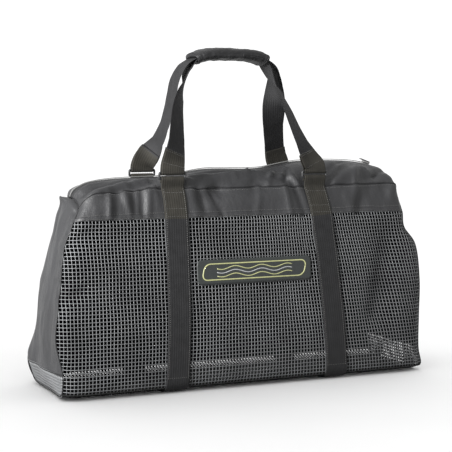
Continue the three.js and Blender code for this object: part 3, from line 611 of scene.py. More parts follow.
def closed_sheet(outer, inner, flip=False):
    """The points, faces and map of a sheet between two grids. The faces of the outer grid come first."""
    columns, rows = outer.shape[:2]
    count = columns * rows
    outside = grid_faces(columns, rows)
    loop = border(columns, rows)
    after = np.roll(loop, -1)
    rim = np.stack([loop, loop + count, after + count, after], -1)
    faces = np.concatenate([outside, outside[:, ::-1] + count, rim])
    vertices = np.concatenate([outer.reshape(-1, 3), inner.reshape(-1, 3)])
    uv = np.concatenate([metric(outer).reshape(-1, 2)] * 2)
    return vertices, faces[:, ::-1] if flip else faces, uv


def cloth_piece(name, node, grid, outer_material):
    """A closed sheet of cloth whose inner faces get a near-black nylon, painted shade for the dark inside of
    the bag.
    """
    normals = grid_normals(grid)
    p = grid.reshape(-1, 3)[grid_faces(*grid.shape[:2])]
    facing = np.cross(p[:, 1] - p[:, 0], p[:, 2] - p[:, 0])
    flip = np.sum(facing * normals[:-1, :-1].reshape(-1, 3)) < 0
    vertices, faces, uv = closed_sheet(grid, grid - normals * CLOTH_THICKNESS, flip)
    kinds = np.zeros(len(faces))
    kinds[len(p) : 2 * len(p)] = 1
    return build(name, vertices, faces, [outer_material, NYLON_INSIDE_PAINTED_SHADE], (node,), uv, kinds)


def tube_rings(path, across, out, section):
    """The points of a section swept along a path, one ring for each step of the path."""
    s, h = section[:, 0], section[:, 1]
    return path[:, None] + across[:, None] * s[None, :, None] + out[:, None] * h[None, :, None]


def tube_faces(steps, sides, start=0):
    i, j = np.meshgrid(np.arange(steps - 1), np.arange(sides), indexing="ij")
    a = start + i * sides + j
    b = start + i * sides + (j + 1) % sides
    return np.stack([a, b, b + sides, a + sides], -1).reshape(-1, 4)


def sweep(name, runs, section, materials, replaces=(), face_material=None):
    """One piece from several runs of path, across and out, each swept and closed at its ends."""
    sides = len(section)
    order = np.arange(sides)
    around = lengths(section)
    vertices, walls, caps, uv, wall_kinds, cap_kinds = [], [], [], [], [], []
    start = 0
    for path, across, out in runs:
        rings = tube_rings(path, across, out, section)
        steps = len(path)
        a, b = np.meshgrid(lengths(path), around, indexing="ij")
        vertices.append(rings.reshape(-1, 3))
        uv.append(np.stack([b, a], -1).reshape(-1, 2))
        walls.append(tube_faces(steps, sides, start))
        caps.extend([start + order[::-1], start + (steps - 1) * sides + order])
        if face_material is not None:
            kind = face_material(path[:-1])
            wall_kinds.append(np.repeat(kind, sides))
            cap_kinds.append(kind[[0, -1]])
        start += steps * sides
    faces = [np.concatenate(walls), np.array(caps)]
    kinds = np.concatenate(wall_kinds + cap_kinds) if wall_kinds else None
    points = np.concatenate(vertices)
    return build(name, points, faces, materials, replaces, np.concatenate(uv), kinds)


def flat_section(width, thickness, sides=6):
    angles = np.arange(sides) * 2 * math.pi / sides + math.pi / sides
    return np.stack([np.cos(angles) * width / 2, np.sin(angles) * thickness / 2], -1)


def path_frame(path, out):
    """The width direction and way out of a sweep along a path that faces out."""
    tangent = tangents(path)
    across = unit(np.cross(out, tangent))
    return across, np.cross(tangent, across)


def rounded_corners(half_width, half_height, radius, steps):
    """The outline of a rounded block, from the right side up, as points with their way out."""
    points = []
    for side, up, quarter in ((1, 1, 0), (-1, 1, 1), (-1, -1, 2), (1, -1, 3)):
        for angle in np.linspace(0, math.pi / 2, steps) + quarter * math.pi / 2:
            x = side * (half_width - radius) + radius * math.cos(angle)
            z = up * (half_height - radius) + radius * math.sin(angle)
            points.append((x, z, math.cos(angle), math.sin(angle)))
    return np.array(points)


# Materials
class Shader:
    """A material with its Principled shader and short calls for its nodes."""

    def __init__(self, name, color, roughness, **values):
        self.material = bpy.data.materials.new(name)
        self.material.use_nodes = True
        self.tree = self.material.node_tree
        self.principled = self.tree.nodes["Principled BSDF"]
        self.principled.inputs["Base Color"].default_value = (*color, 1)
        self.principled.inputs["Roughness"].default_value = roughness
        for key, value in values.items():
            self.principled.inputs[key.replace("_", " ")].default_value = value
        self.map = self.node("UVMap", uv_map="cloth").outputs["UV"]
        self.place = self.node("TexCoord").outputs["Object"]

    def node(self, kind, **settings):
        node = self.tree.nodes.new("ShaderNode" + kind)
        for key, value in settings.items():
            setattr(node, key, value)
        return node

    def link(self, out, into):
        self.tree.links.new(out, into)

    def noise(self, scale, detail=3, where=None, stretch=None):
        node = self.node("TexNoise")
        node.inputs["Scale"].default_value = scale
        node.inputs["Detail"].default_value = detail
        where = self.place if where is None else where
        if stretch:
            mapping = self.node("Mapping")
            mapping.inputs["Scale"].default_value = stretch
            self.link(where, mapping.inputs["Vector"])
            where = mapping.outputs["Vector"]
        self.link(where, node.inputs["Vector"])
        return node.outputs["Fac"]

    def wave(self, period, direction):
        """Even bands on the cloth map, with a period in metres."""
        node = self.node("TexWave", wave_type="BANDS", bands_direction=direction)
        node.inputs["Scale"].default_value = 2 * math.pi / (20 * period)
        self.link(self.map, node.inputs["Vector"])
        return node.outputs["Fac"]

    def ramp(self, value, stops):
        node = self.node("ValToRGB")
        ramp = node.color_ramp
        while len(ramp.elements) < len(stops):
            ramp.elements.new(0.5)
        for element, (place, color) in zip(ramp.elements, stops):
            element.position = place
            element.color = (*color, 1)
        self.link(value, node.inputs["Fac"])
        return node.outputs["Color"]

    def math(self, operation, a, b):
        node = self.node("Math", operation=operation)
        for value, socket in ((a, node.inputs[0]), (b, node.inputs[1])):
            if isinstance(value, (int, float)):
                socket.default_value = value
            else:
                self.link(value, socket)
        return node.outputs[0]

    def color(self, out):
        self.link(out, self.principled.inputs["Base Color"])
        return self

    def mottled(self, value, color, low, high):
        """A base colour that varies between two shades of one colour."""
        return self.color(self.ramp(value, [(0.3, scaled(color, low)), (0.7, scaled(color, high))]))

    def roughness(self, value, low, high):
        node = self.node("MapRange")
        node.inputs["To Min"].default_value = low
        node.inputs["To Max"].default_value = high
        self.link(value, node.inputs["Value"])
        self.link(node.outputs["Result"], self.principled.inputs["Roughness"])
        return self

    def bump(self, heights):
        """Bump from pairs of a height and its depth in metres."""
        normal = None
        for height, depth in heights:
            node = self.node("Bump")
            node.inputs["Strength"].default_value = 1
            node.inputs["Distance"].default_value = depth
            self.link(height, node.inputs["Height"])
            if normal is not None:
                self.link(normal, node.inputs["Normal"])
            normal = node.outputs["Normal"]
        self.link(normal, self.principled.inputs["Normal"])
        return self


def scaled(color, factor):
    return tuple(c * factor for c in color)


def nylon_material(name, color, roughness, specular):
    s = Shader(name, color, roughness, Specular_IOR_Level=specular)
    weave = s.math("MULTIPLY", s.wave(0.0009, "X"), s.wave(0.0009, "Y"))
    crumple = s.noise(55, 4, stretch=(1, 1, 0.45))
    s.mottled(s.noise(9, 4), color, 0.82, 1.2).roughness(s.noise(30, 3), roughness - 0.07, roughness + 0.1)
    return s.bump([(crumple, 0.0016), (s.noise(170, 3), 0.0004), (weave, 0.00008)]).material


def webbing_material(name, color, roughness=0.62):
    s = Shader(name, color, roughness, Specular_IOR_Level=0.2)
    ribs = s.wave(0.0017, "Y")
    mottle = s.noise(60, 4)
    tone = s.math("ADD", s.math("MULTIPLY", ribs, 0.35), s.math("MULTIPLY", mottle, 0.65))
    s.color(s.ramp(tone, [(0.25, scaled(color, 0.6)), (0.75, scaled(color, 1.45))]))
    s.roughness(mottle, roughness - 0.08, roughness + 0.12)
    return s.bump([(ribs, 0.0003), (s.noise(700, 2), 0.0001)]).material


def net_material(name, color, roughness, specular, coat):
    s = Shader(name, color, roughness, Specular_IOR_Level=specular, Coat_Weight=coat, Coat_Roughness=0.25)
    s.mottled(s.noise(14, 3), color, 0.75, 1.2).roughness(s.noise(90, 2), roughness - 0.08, roughness + 0.11)
    return s.bump([(s.wave(0.0011, "Y"), 0.00012), (s.noise(900, 2), 0.00006)]).material


def plastic_material(name, color, roughness):
    s = Shader(name, color, roughness, Specular_IOR_Level=0.5)
    s.mottled(s.noise(40, 3), color, 0.8, 1.3)
    s.roughness(s.noise(120, 3), roughness - 0.06, roughness + 0.1)
    return s.bump([(s.noise(1500, 2), 0.00003)]).material


def thread_material(name, color):
    s = Shader(name, color, 0.6, Sheen_Weight=0.3)
    s.mottled(s.noise(300, 2), color, 0.7, 1.2)
    return s.bump([(s.noise(2500, 1), 0.00005)]).material


def print_material(name, color):
    s = Shader(name, color, 0.5, Specular_IOR_Level=0.45)
    s.mottled(s.noise(150, 3), color, 0.85, 1.1)
    return s.bump([(s.noise(900, 2), 0.00005)]).material


NYLON = nylon_material("nylon", (0.0105, 0.0106, 0.0114), 0.48, 0.32)
NYLON_DARK = nylon_material("nylon_binding", (0.007, 0.007, 0.0074), 0.5, 0.22)
# The cloth's inner faces are painted near-black: painted shade for the inside of the bag, not a real
# coating.
NYLON_INSIDE_PAINTED_SHADE = nylon_material("nylon_inside_painted_shade", (0.0025, 0.0025, 0.003), 0.8, 0.05)
NET = net_material("net_strand", (0.062, 0.064, 0.066), 0.36, 0.45, 0.1)
NET_SHADED = net_material("net_strand_shaded", (0.007, 0.007, 0.0073), 0.6, 0.15, 0.0)
# The bottom net's strands are a much darker copy of the net: painted shade under the bag.
NET_PAINTED_SHADE_BELOW = net_material("net_strand_below_painted_shade", (0.006, 0.006, 0.006), 0.8, 0.1, 0.0)
WEBBING = webbing_material("webbing", (0.0078, 0.0078, 0.0083))
WEBBING_SEWN = webbing_material("webbing_sewn", (0.0125, 0.0115, 0.009), 0.7)
PLASTIC = plastic_material("plastic", (0.006, 0.006, 0.0065), 0.38)
TEETH = plastic_material("zip_teeth", (0.09, 0.09, 0.088), 0.32)
THREAD = thread_material("thread", (0.03, 0.029, 0.026))
BACKING = print_material("patch_backing", (0.007, 0.009, 0.0085))
PALE_PRINT = print_material("patch_print", (0.21, 0.215, 0.1))
GREY_PRINT = print_material("patch_grey_print", (0.19, 0.195, 0.195))


# Panels of cloth
def even(low, high, step):
    return np.linspace(low, high, max(2, int(round(abs(high - low) / step)) + 1))


U_STEP = 0.0115


def add_panels():
    u = even(-1, 1, U_STEP)
    panels = [
        ("yoke_cloth", "front_yoke", even(YOKE_EDGE, LID_SEAM, 0.055), NYLON),
        ("lid_front_cloth", "lid_front", even(LID_SEAM, ZIP_EDGE, 0.09), NYLON),
        ("lid_back_cloth", "lid_back", mirrored(even(LID_SEAM, ZIP_EDGE, 0.12)), NYLON),
        ("zip_tape_cloth", "zip_tape", even(ZIP_EDGE, mirrored(ZIP_EDGE), 0.1), NYLON_DARK),
        ("back_cloth", "back_panel", mirrored(even(CORNER, LID_SEAM, 0.11)), NYLON),
    ]
    for name, node, v, material in panels:
        grid = skin(u[:, None], v[None, :])
        cloth_piece(name, node, grid, material)


def add_ends():
    across = even(0, 1, 0.016)
    v = even(HEM, ZIP_EDGE, 0.075)
    for side, label in ((-1, "left"), (1, "right")):
        grid = end_skin(side, v[None, :], across[:, None])
        cloth_piece(label + "_end_cloth", label + "_gusset", grid, NYLON)


# The net
def inside_runs(points, outs, keep):
    """The stretches of a path where keep holds, each a path with its way out."""
    runs = []
    start = None
    for k, kept in enumerate([*keep, False]):
        if kept and start is None:
            start = k
        if not kept and start is not None:
            if k - start > 1:
                runs.append((points[start:k], outs[start:k]))
            start = None
    return runs


def net_lines(grid, outs, column_lift, row_lift):
    """The columns and rows of a grid as paths with their way out, each moved out by its lift."""
    columns = grid + outs * column_lift
    rows = grid + outs * row_lift
    paths = [(columns[k], outs[k]) for k in range(grid.shape[0])]
    return paths + [(rows[:, k], outs[:, k]) for k in range(grid.shape[1])]


def strands(name, node, paths, section, material):
    runs = []
    for points, outs in paths:
        across, out = path_frame(points, outs)
        runs.append((points, across, out))
    return sweep(name, runs, section, [material], (node,))


def wall_lines(pitch):
    """Line numbers at even distances up the front, from the corner to the yoke, two to each mesh."""
    v = np.linspace(CORNER, YOKE_EDGE, 400)
    length = lengths(body_point(np.zeros_like(v), v))
    rows = int(length[-1] / pitch)
    return np.interp(np.linspace(0, length[-1], rows * 2 + 1), length, v)


def add_front_net():
    v = wall_lines(NET_PITCH_UP)
    section = flat_section(STRAND_WIDTH, STRAND_THICKNESS)
    x0 = np.arange(-HALF_LENGTH + 1, HALF_LENGTH + 60, NET_PITCH_ALONG)[:, None]
    z = body_point(np.zeros_like(v), v)[None, :, 2]
    lean = np.tan(np.radians(NET_LEAN)) * smooth_step(-60, 380, x0)
    x = x0 - lean * (z - 40) + 1.2 * noise(x0 / 60, z / 50)
    line = np.broadcast_to(v, x.shape)
    u = u_at(x, line)
    keep = np.abs(u) <= 1
    u = np.clip(u, -1, 1)
    outs = outward(body_point, u, line)
    points = skin(u, line) - outs * 0.5 * STRAND_THICKNESS
    paths = []
    for column_points, column_outs, column_keep in zip(points, outs, keep):
        paths.extend(inside_runs(column_points, column_outs, column_keep))
    u = even(-1, 1, NET_PITCH_ALONG / HALF_LENGTH)
    a, b = np.meshgrid(u, v[::2], indexing="ij")
    outs = outward(body_point, a, b)
    points = skin(a, b) - outs * 0.35 * STRAND_THICKNESS
    paths.extend((points[:, row], outs[:, row]) for row in range(points.shape[1]))
    strands("front_net_strands", "front_net", paths, section, NET)


def add_bottom_net():
    section = flat_section(BOTTOM_STRAND_WIDTH, STRAND_THICKNESS, 4)
    u = even(-1, 1, NET_PITCH_ALONG / HALF_LENGTH)
    v = even(-CORNER, CORNER, 0.18)
    grid = skin(u[:, None], v[None, :])
    outs = np.broadcast_to([0, 0, -1.0], grid.shape)
    paths = net_lines(grid, outs, -0.6 * STRAND_THICKNESS, -0.9 * STRAND_THICKNESS)
    # The strands below use the darker copy of the net, painted shade.
    strands("bottom_net_strands", "bottom_net", paths, section, NET_PAINTED_SHADE_BELOW)


def corner_point(side, across, share):
    across = np.asarray(across, float)
    foot = skin(side, CORNER * (1 - 2 * across))
    top = end_skin(side, np.full_like(across, HEM), across)
    return foot + (top - foot) * np.asarray(share)[..., None]


def add_corner_nets():
    section = flat_section(BOTTOM_STRAND_WIDTH, STRAND_THICKNESS, 4)
    for side, label in ((-1, "left"), (1, "right")):
        surface = lambda a, b: corner_point(side, a, b)
        across, share = np.meshgrid(even(0, 1, 0.03), even(0, 1, 0.14), indexing="ij")
        outs = outward(surface, across, share)
        grid = surface(across, share)
        paths = net_lines(grid, outs, -0.5 * STRAND_THICKNESS, -0.5 * STRAND_THICKNESS)
        material = NET if side < 0 else NET_SHADED
        strands(label + "_corner_strands", label + "_corner_net", paths, section, material)


# Webbing
def webbing_section():
    """A closed section of ribbed webbing with soft edges."""
    count = WEBBING_RIBS * 4 + 1
    s = np.linspace(-WEBBING_WIDTH / 2, WEBBING_WIDTH / 2, count)
    edge = np.sqrt(np.clip(1 - (np.abs(s) / (WEBBING_WIDTH / 2)) ** 14, 0.02, 1))
    rib = 0.22 * np.cos(2 * math.pi * WEBBING_RIBS * s / WEBBING_WIDTH)
    top = (WEBBING_THICKNESS / 2 - 0.22 - rib) * edge
    return np.concatenate([np.stack([s, -top], -1), np.stack([s, top], -1)[::-1]])


SECTION = webbing_section()
LOOP_RADIUS = math.hypot(RING_BAR, RING_DEPTH) / 2 + LOOP_CLEARANCE
BAR_OFFSET = (RING_HEIGHT - RING_BAR) / 2


def ring_place(side_x, side_y):
    x = np.array(side_x * STRAP_SPACING / 2)
    seam = body_point(u_at(x, LID_SEAM), LID_SEAM)
    return np.array([float(x), side_y * (HALF_DEPTH - RING_SETBACK), float(seam[2]) + RING_LIFT])


def resampled(path, outs, step):
    """The path with points at even distances, and its way out there."""
    return spaced(path, path, step), unit(spaced(path, outs, step))


def strap_half(side_x, side_y):
    lines = even(0, LID_SEAM, 0.06)
    v = lines if side_y < 0 else mirrored(lines)
    z = body_point(np.zeros_like(v), v)[:, 2]
    u = u_at(strap_middle(side_x, z), v)
    outs = outward(body_point, u, v)
    path = body_point(u, v) + outs * (STRAP_CLEARANCE + WEBBING_THICKNESS / 2)
    ring = ring_place(side_x, side_y)
    angles = np.linspace(0, math.pi, 12)
    radius = LOOP_RADIUS + WEBBING_THICKNESS / 2
    loop_outs = np.stack([0 * angles, side_y * np.cos(angles), np.sin(angles)], -1)
    loop = np.array([ring[0], ring[1], ring[2] - BAR_OFFSET]) + loop_outs * radius
    tail = loop[-1] - [0, 0, STRAP_TAIL]
    path = np.concatenate([path, loop, tail[None]])
    return path, np.concatenate([outs, loop_outs, loop_outs[-1:]])


def add_body_straps():
    for side_x, label in ((-1, "left"), (1, "right")):
        front, front_outs = strap_half(side_x, -1)
        back, back_outs = strap_half(side_x, 1)
        path = np.concatenate([front[::-1], back[1:]])
        outs = np.concatenate([front_outs[::-1], back_outs[1:]])
        path, outs = resampled(path, outs, 4)
        tangent = tangents(path)
        across = square_to(tangent, np.tile([1.0, 0, 0], (len(path), 1)))
        out = np.cross(tangent, across)
        out *= np.sign(np.sum(out * outs, -1, keepdims=True))
        flip = np.linalg.det(np.stack([across[0], out[0], tangent[0]])) < 0
        section = SECTION[::-1] if flip else SECTION
        sewn = lambda points: (points[:, 2] > YOKE_EDGE_HEIGHT + BOTTOM_LIFT).astype(int)
        sweep(
            label + "_strap_webbing", [(path, across, out)], section, [WEBBING, WEBBING_SEWN],
            (label + "_body_strap",), sewn,
        )


GRIP_SHARES = np.array([-1, -0.9, -0.78, -0.62, -0.4, 0, 0.4, 0.62, 0.78, 0.9, 1])
GRIP_PATH_TOP = GRIP_TOP_HEIGHT - GRIP_THICKNESS / 2


def grip_point(share):
    share = np.asarray(share, float)
    return np.stack([share * GRIP_LENGTH / 2, 0 * share, GRIP_PATH_TOP - GRIP_ARCH * share**4], -1)


def handle_path(side_y):
    """The handle's middle line with its width and outward directions, from ring to ring."""
    layer = side_y * (WEBBING_THICKNESS + STACK_GAP) / 2
    points, turns = [], []
    for side_x in (-1, 1):
        name = ("front" if side_y < 0 else "back") + ("_left" if side_x < 0 else "_right")
        start = ring_place(side_x, side_y) + [0, side_y * (LOOP_RADIUS + WEBBING_THICKNESS / 2), BAR_OFFSET]
        rise = GRIP_PATH_TOP - GRIP_ARCH - start[2]
        leg = []
        for index, row in enumerate(LEG_ROWS):
            along, turn = getattr(row, name)
            height = LEG_STRAIGHT + (rise - LEG_STRAIGHT) * row.z if index else 0
            leg.append((np.array([start[0] * along, start[1] * row.y, start[2] + height]), turn))
        if side_x > 0:
            points.extend(grip_point(GRIP_SHARES))
            turns.extend([turns[-1]] * len(GRIP_SHARES))
            leg.reverse()
        points.extend(point for point, _ in leg)
        turns.extend(turn for _, turn in leg)
    points = np.array(points)
    turns = np.array(turns, float)
    padded = np.concatenate([2 * points[:1] - points[1:2], points, 2 * points[-1:] - points[-2:-1]])
    spans = len(points) - 1
    t = np.linspace(0, spans, spans * 10 + 1)
    k = np.minimum(t.astype(int), spans - 1)
    path = centripetal(padded[k], padded[k + 1], padded[k + 2], padded[k + 3], t - k)
    degrees = np.interp(t, np.arange(len(turns)), turns)
    turn = np.radians(degrees)
    tangent = tangents(path)
    tangent[0], tangent[-1] = (0, 0, 1), (0, 0, -1)
    across = square_to(tangent, np.stack([np.cos(turn), -np.sin(turn), 0 * turn], -1))
    out = np.cross(tangent, across)
    out *= np.where(out[:, 1:2] * side_y < 0, -1, 1)
    in_grip = (t >= len(LEG_ROWS)) & (t <= len(LEG_ROWS) + len(GRIP_SHARES) - 1)
    upper = path * [1, 1, 0]
    upper[:, 2] = np.where(in_grip, GRIP_TOP_HEIGHT, 0)
    up = np.where(np.sum(out * upper, -1) < 0, -1, 1)
    lifted = np.clip((np.abs(degrees) - LAY_FROM) / (90 - LAY_FROM), 0, 1)
    path = path + out * (layer * lifted * up)[:, None]
    return path, across, out


def handle_end(path, across, out, side_x, side_y):
    """Round the ring's upper bar and back up along the leg, from the leg's start."""
    ring = ring_place(side_x, side_y)
    radius = LOOP_RADIUS + WEBBING_THICKNESS / 2
    angles = np.linspace(0, math.pi, 13)[1:]
    loop_out = np.stack([0 * angles, side_y * np.cos(angles), -np.sin(angles)], -1)
    loop = ring + [0, 0, BAR_OFFSET] + loop_out * radius
    loop_across = np.tile([1.0, 0, 0], (len(angles), 1))
    length = lengths(path)
    count = int(np.searchsorted(length, HANDLE_TAIL)) + 1
    share = np.minimum(1, length[1:count] / HANDLE_TAIL)
    apart = 2 * radius + (WEBBING_THICKNESS + STACK_GAP - 2 * radius) * share
    tail = path[1:count] - out[1:count] * apart[:, None]
    return (
        np.concatenate([loop, tail]),
        np.concatenate([loop_across, across[1:count]]),
        np.concatenate([loop_out, -out[1:count]]),
    )


def add_handles():
    for side_y, label in ((-1, "front"), (1, "back")):
        path, across, out = handle_path(side_y)
        left = handle_end(path, across, out, -1, side_y)
        right = handle_end(path[::-1], across[::-1], out[::-1], 1, side_y)
        whole = [np.concatenate([a[::-1], b, c]) for a, b, c in zip(left, (path, across, out), right)]
        points, width, face = whole
        for k in range(1, len(width)):
            if np.dot(width[k], width[k - 1]) < 0:
                width[k] *= -1
        tangent = np.gradient(points, axis=0)
        handed = np.sum(np.cross(width, face) * tangent, -1)
        face = np.where(handed[:, None] < 0, -face, face)
        sewn_height = ring_place(-1, side_y)[2] + HANDLE_TAIL
        sewn = lambda points: (points[:, 2] < sewn_height).astype(int)
        sweep(
            label + "_handle_webbing", [(points, width, face)], SECTION, [WEBBING, WEBBING_SEWN],
            (label + "_handle",), sewn,
        )


# Rings
def add_rings():
    half_x = (WEBBING_WIDTH + 2 * RING_SIDE_ROOM + RING_BAR) / 2
    half_y = (RING_HEIGHT - RING_BAR) / 2
    outline = rounded_corners(half_x, half_y, RING_CORNER_RADIUS - RING_BAR / 2, 7)
    angles = np.arange(RING_SIDES) * 2 * math.pi / RING_SIDES
    shape = lambda c: np.sign(c) * np.abs(c) ** RING_SQUARENESS
    section = np.stack([shape(np.cos(angles)) * RING_BAR / 2, shape(np.sin(angles)) * RING_DEPTH / 2], -1)
    for side_x, end in ((-1, "left"), (1, "right")):
        for side_y, depth in ((-1, "front"), (1, "back")):
            middle = ring_place(side_x, side_y)
            rings = np.empty((len(outline), len(section), 3))
            rings[..., 0] = middle[0] + outline[:, None, 0] + outline[:, None, 2] * section[None, :, 0]
            rings[..., 1] = middle[1] + section[None, :, 1]
            rings[..., 2] = middle[2] + outline[:, None, 1] + outline[:, None, 3] * section[None, :, 0]
            sides = len(section)
            i, j = np.meshgrid(np.arange(len(outline)), np.arange(sides), indexing="ij")
            following = (i + 1) % len(outline)
            a, b = i * sides + j, i * sides + (j + 1) % sides
            c, d = following * sides + (j + 1) % sides, following * sides + j
            faces = np.stack([a, b, c, d], -1).reshape(-1, 4)
            name = f"ring_{depth}_{end}"
            build("moulded_" + name, rings.reshape(-1, 3), faces, [PLASTIC], (name,))


# Grip wrap
def oval(angle, half_width, half_height, exponent):
    c, s = np.cos(angle), np.sin(angle)
    radius = (np.abs(c) ** exponent + np.abs(s) ** exponent) ** (-1 / exponent)
    return half_width * radius * c, half_height * radius * s


def wrap_point(share, angle, inset=0.0):
    """A point of the padded wrap, whose front closes under the handle."""
    share, angle = np.broadcast_arrays(np.asarray(share, float), np.asarray(angle, float))
    y, z = oval(angle, GRIP_WIDTH / 2 - inset, GRIP_THICKNESS / 2 - inset, 2.6)
    slope = np.arctan(-4 * GRIP_ARCH * share**3 / (GRIP_LENGTH / 2))
    middle = grip_point(share)
    from_middle = np.abs(share)
    pinch = np.exp(-(((from_middle - 0.88) / 0.03) ** 2))
    puff = 1 - 0.08 * smooth_step(0.9, 1, from_middle) - 0.05 * pinch
    crumple = 0.9 * noise(share * 6 + 40, angle * 2.2) + 0.5 * noise(share * 16, angle * 5 + 3)
    crumple = crumple * (inset == 0)
    y, z = y * puff * (1 + crumple / 33), z * puff * (1 + crumple / 13)
    return np.stack([middle[..., 0] - z * np.sin(slope), y, middle[..., 2] + z * np.cos(slope)], -1)


def add_grip():
    slit = 0.04
    angles = np.linspace(-math.pi / 2 + slit, 1.5 * math.pi - slit, 73)
    shares = even(-1, 1, 0.02)
    outer = wrap_point(shares[:, None], angles[None, :])
    room_height = WEBBING_THICKNESS + STACK_GAP / 2 + WRAP_CLEARANCE
    y, z = oval(angles, WEBBING_WIDTH / 2 + 2 * WRAP_CLEARANCE, room_height, 8)
    middle = grip_point(shares)
    slope = np.arctan(-4 * GRIP_ARCH * shares**3 / (GRIP_LENGTH / 2))
    inner = np.stack(
        [
            middle[:, None, 0] - z[None] * np.sin(slope)[:, None],
            np.broadcast_to(y, (len(shares), len(angles))),
            middle[:, None, 2] + z[None] * np.cos(slope)[:, None],
        ],
        -1,
    )
    vertices, faces, uv = closed_sheet(outer, inner, flip=True)
    wrap = build("padded_wrap", vertices, faces, [NYLON_DARK], ("grip_wrap",), uv)


def wrap_run(share, angle):
    """A binding along points of the wrap's surface."""
    share, angle = np.broadcast_arrays(share, angle)
    points = wrap_point(share, angle)
    return cord_run(points, unit(points - wrap_point(share, angle, 3)), 0.3)


def add_grip_trim():
    """The bound edge of the wrap's flap along the front and the bindings round its two ends."""
    runs = [wrap_run(even(0.25, 0.97, 0.02), math.radians(degrees)) for degrees in (183, 197)]
    angles = np.linspace(-math.pi / 2 + 0.06, 1.5 * math.pi - 0.06, 73)
    runs.extend(wrap_run(share, angles) for share in (-0.965, 0.965))
    sweep("wrap_binding", runs, flat_section(*BINDING, 8), [NYLON_DARK])


# Trim: piping, hems and stitches
def cord_run(surface_points, outs, lift):
    across, out = path_frame(surface_points, outs)
    return surface_points + out * lift, across, out


def add_piping():
    section = flat_section(*PIPING, 8)
    u = even(-1, 1, U_STEP)
    runs = []
    for v in (LID_SEAM, mirrored(LID_SEAM)):
        line = np.full_like(u, v)
        runs.append(cord_run(skin(u, line), outward(body_point, u, line), 0.2))
    v_front = even(CORNER, ZIP_EDGE, 0.1)
    for side in (-1, 1):
        for v in (v_front, mirrored(v_front)):
            end = np.full_like(v, side, dtype=float)
            runs.append(cord_run(skin(end, v), outward(body_point, end, v), 0.1))
        across = even(0, 1, 0.03)
        plain = lambda a, b: end_point(side, b, a)
        hem = np.full_like(across, HEM)
        runs.append(cord_run(end_skin(side, hem, across), outward(plain, across, hem), 0.2))
    sweep("seam_piping", runs, section, [NYLON_DARK])


def add_hem():
    """The folded edge of the yoke over the net's top."""
    u = even(-1, 1, U_STEP)
    section = flat_section(*HEM_BAND, 8)
    line = np.full_like(u, YOKE_EDGE + 0.08)
    run = cord_run(skin(u, line), outward(body_point, u, line), 0.5)
    sweep("yoke_hem", [run], section, [NYLON])


def stitch_points(path, outs, lift):
    """Short threads along a path: an elongated bead for each stitch."""
    path, outs = resampled(path, outs, STITCH_PITCH)
    tangent = tangents(path)
    across = np.cross(outs, tangent)
    half = STITCH_LENGTH / 2
    middle = path + outs * lift
    corners = [
        middle - tangent * half,
        middle + across * STITCH_HALF_WIDTH,
        middle + outs * STITCH_HALF_HEIGHT,
        middle - across * STITCH_HALF_WIDTH,
        middle - outs * STITCH_HALF_HEIGHT,
        middle + tangent * half,
    ]
    return np.stack(corners, 1).reshape(-1, 3), len(path)


STITCH_FACES = np.array(
    [[0, 2, 1], [0, 3, 2], [0, 4, 3], [0, 1, 4], [5, 1, 2], [5, 2, 3], [5, 3, 4], [5, 4, 1]]
)


def add_stitches():
    u = even(-0.995, 0.995, U_STEP)
    runs = []
    for v in (YOKE_EDGE + 0.04, YOKE_EDGE + 0.2, LID_SEAM - 0.1):
        line = np.full_like(u, v)
        runs.append((skin(u, line), outward(body_point, u, line), 1.15 if v < YOKE_EDGE + 0.1 else 0.15))
    for side_x in (-1, 1):
        for side_y in (-1, 1):
            runs.extend(strap_stitches(side_x, side_y))
            runs.extend(handle_stitches(side_x, side_y))
    vertices, start, faces = [], 0, []
    for path, outs, lift in runs:
        points, count = stitch_points(path, outs, lift)
        vertices.append(points)
        offsets = start + 6 * np.arange(count)
        faces.append((STITCH_FACES[None] + offsets[:, None, None]).reshape(-1, 3))
        start += 6 * count
    build("stitches", np.concatenate(vertices), np.concatenate(faces), [THREAD], smooth=False)


def strap_line(side_x, side_y, v, shift):
    """Points on top of a body strap, at line numbers v and a shift from its middle."""
    v = np.asarray(v, float) if side_y < 0 else mirrored(np.asarray(v, float))
    z = body_point(np.zeros_like(v), v)[..., 2]
    u = u_at(strap_middle(side_x, z) + shift, v)
    outs = outward(body_point, u, v)
    return body_point(u, v) + outs * (STRAP_CLEARANCE + WEBBING_THICKNESS), outs, 0.0


def strap_stitches(side_x, side_y):
    half = WEBBING_WIDTH / 2 - STITCH_INSET
    lines = []
    ups = np.linspace(CORNER + 0.6, LID_SEAM, 60)
    for shift in (-half, half):
        lines.append(strap_line(side_x, side_y, ups, np.full_like(ups, shift)))
    shifts = np.linspace(-half, half, 12)
    for v in (CORNER + 0.6, YOKE_EDGE + 0.05, YOKE_EDGE + 0.3, LID_SEAM - 0.2):
        lines.append(strap_line(side_x, side_y, np.full_like(shifts, v), shifts))
    return lines


def handle_stitches(side_x, side_y):
    path, across, out = handle_path(side_y)
    if side_x > 0:
        path, across, out = path[::-1], across[::-1], out[::-1]
    length = lengths(path)
    lines = []
    shifts = np.linspace(STITCH_INSET - WEBBING_WIDTH / 2, WEBBING_WIDTH / 2 - STITCH_INSET, 12)
    for distance in (14, 38, 42):
        k = int(np.searchsorted(length, distance))
        middle = path[k] + out[k] * WEBBING_THICKNESS / 2
        points = middle + across[k] * shifts[:, None]
        lines.append((points, np.tile(out[k], (len(shifts), 1)), 0.0))
    return lines


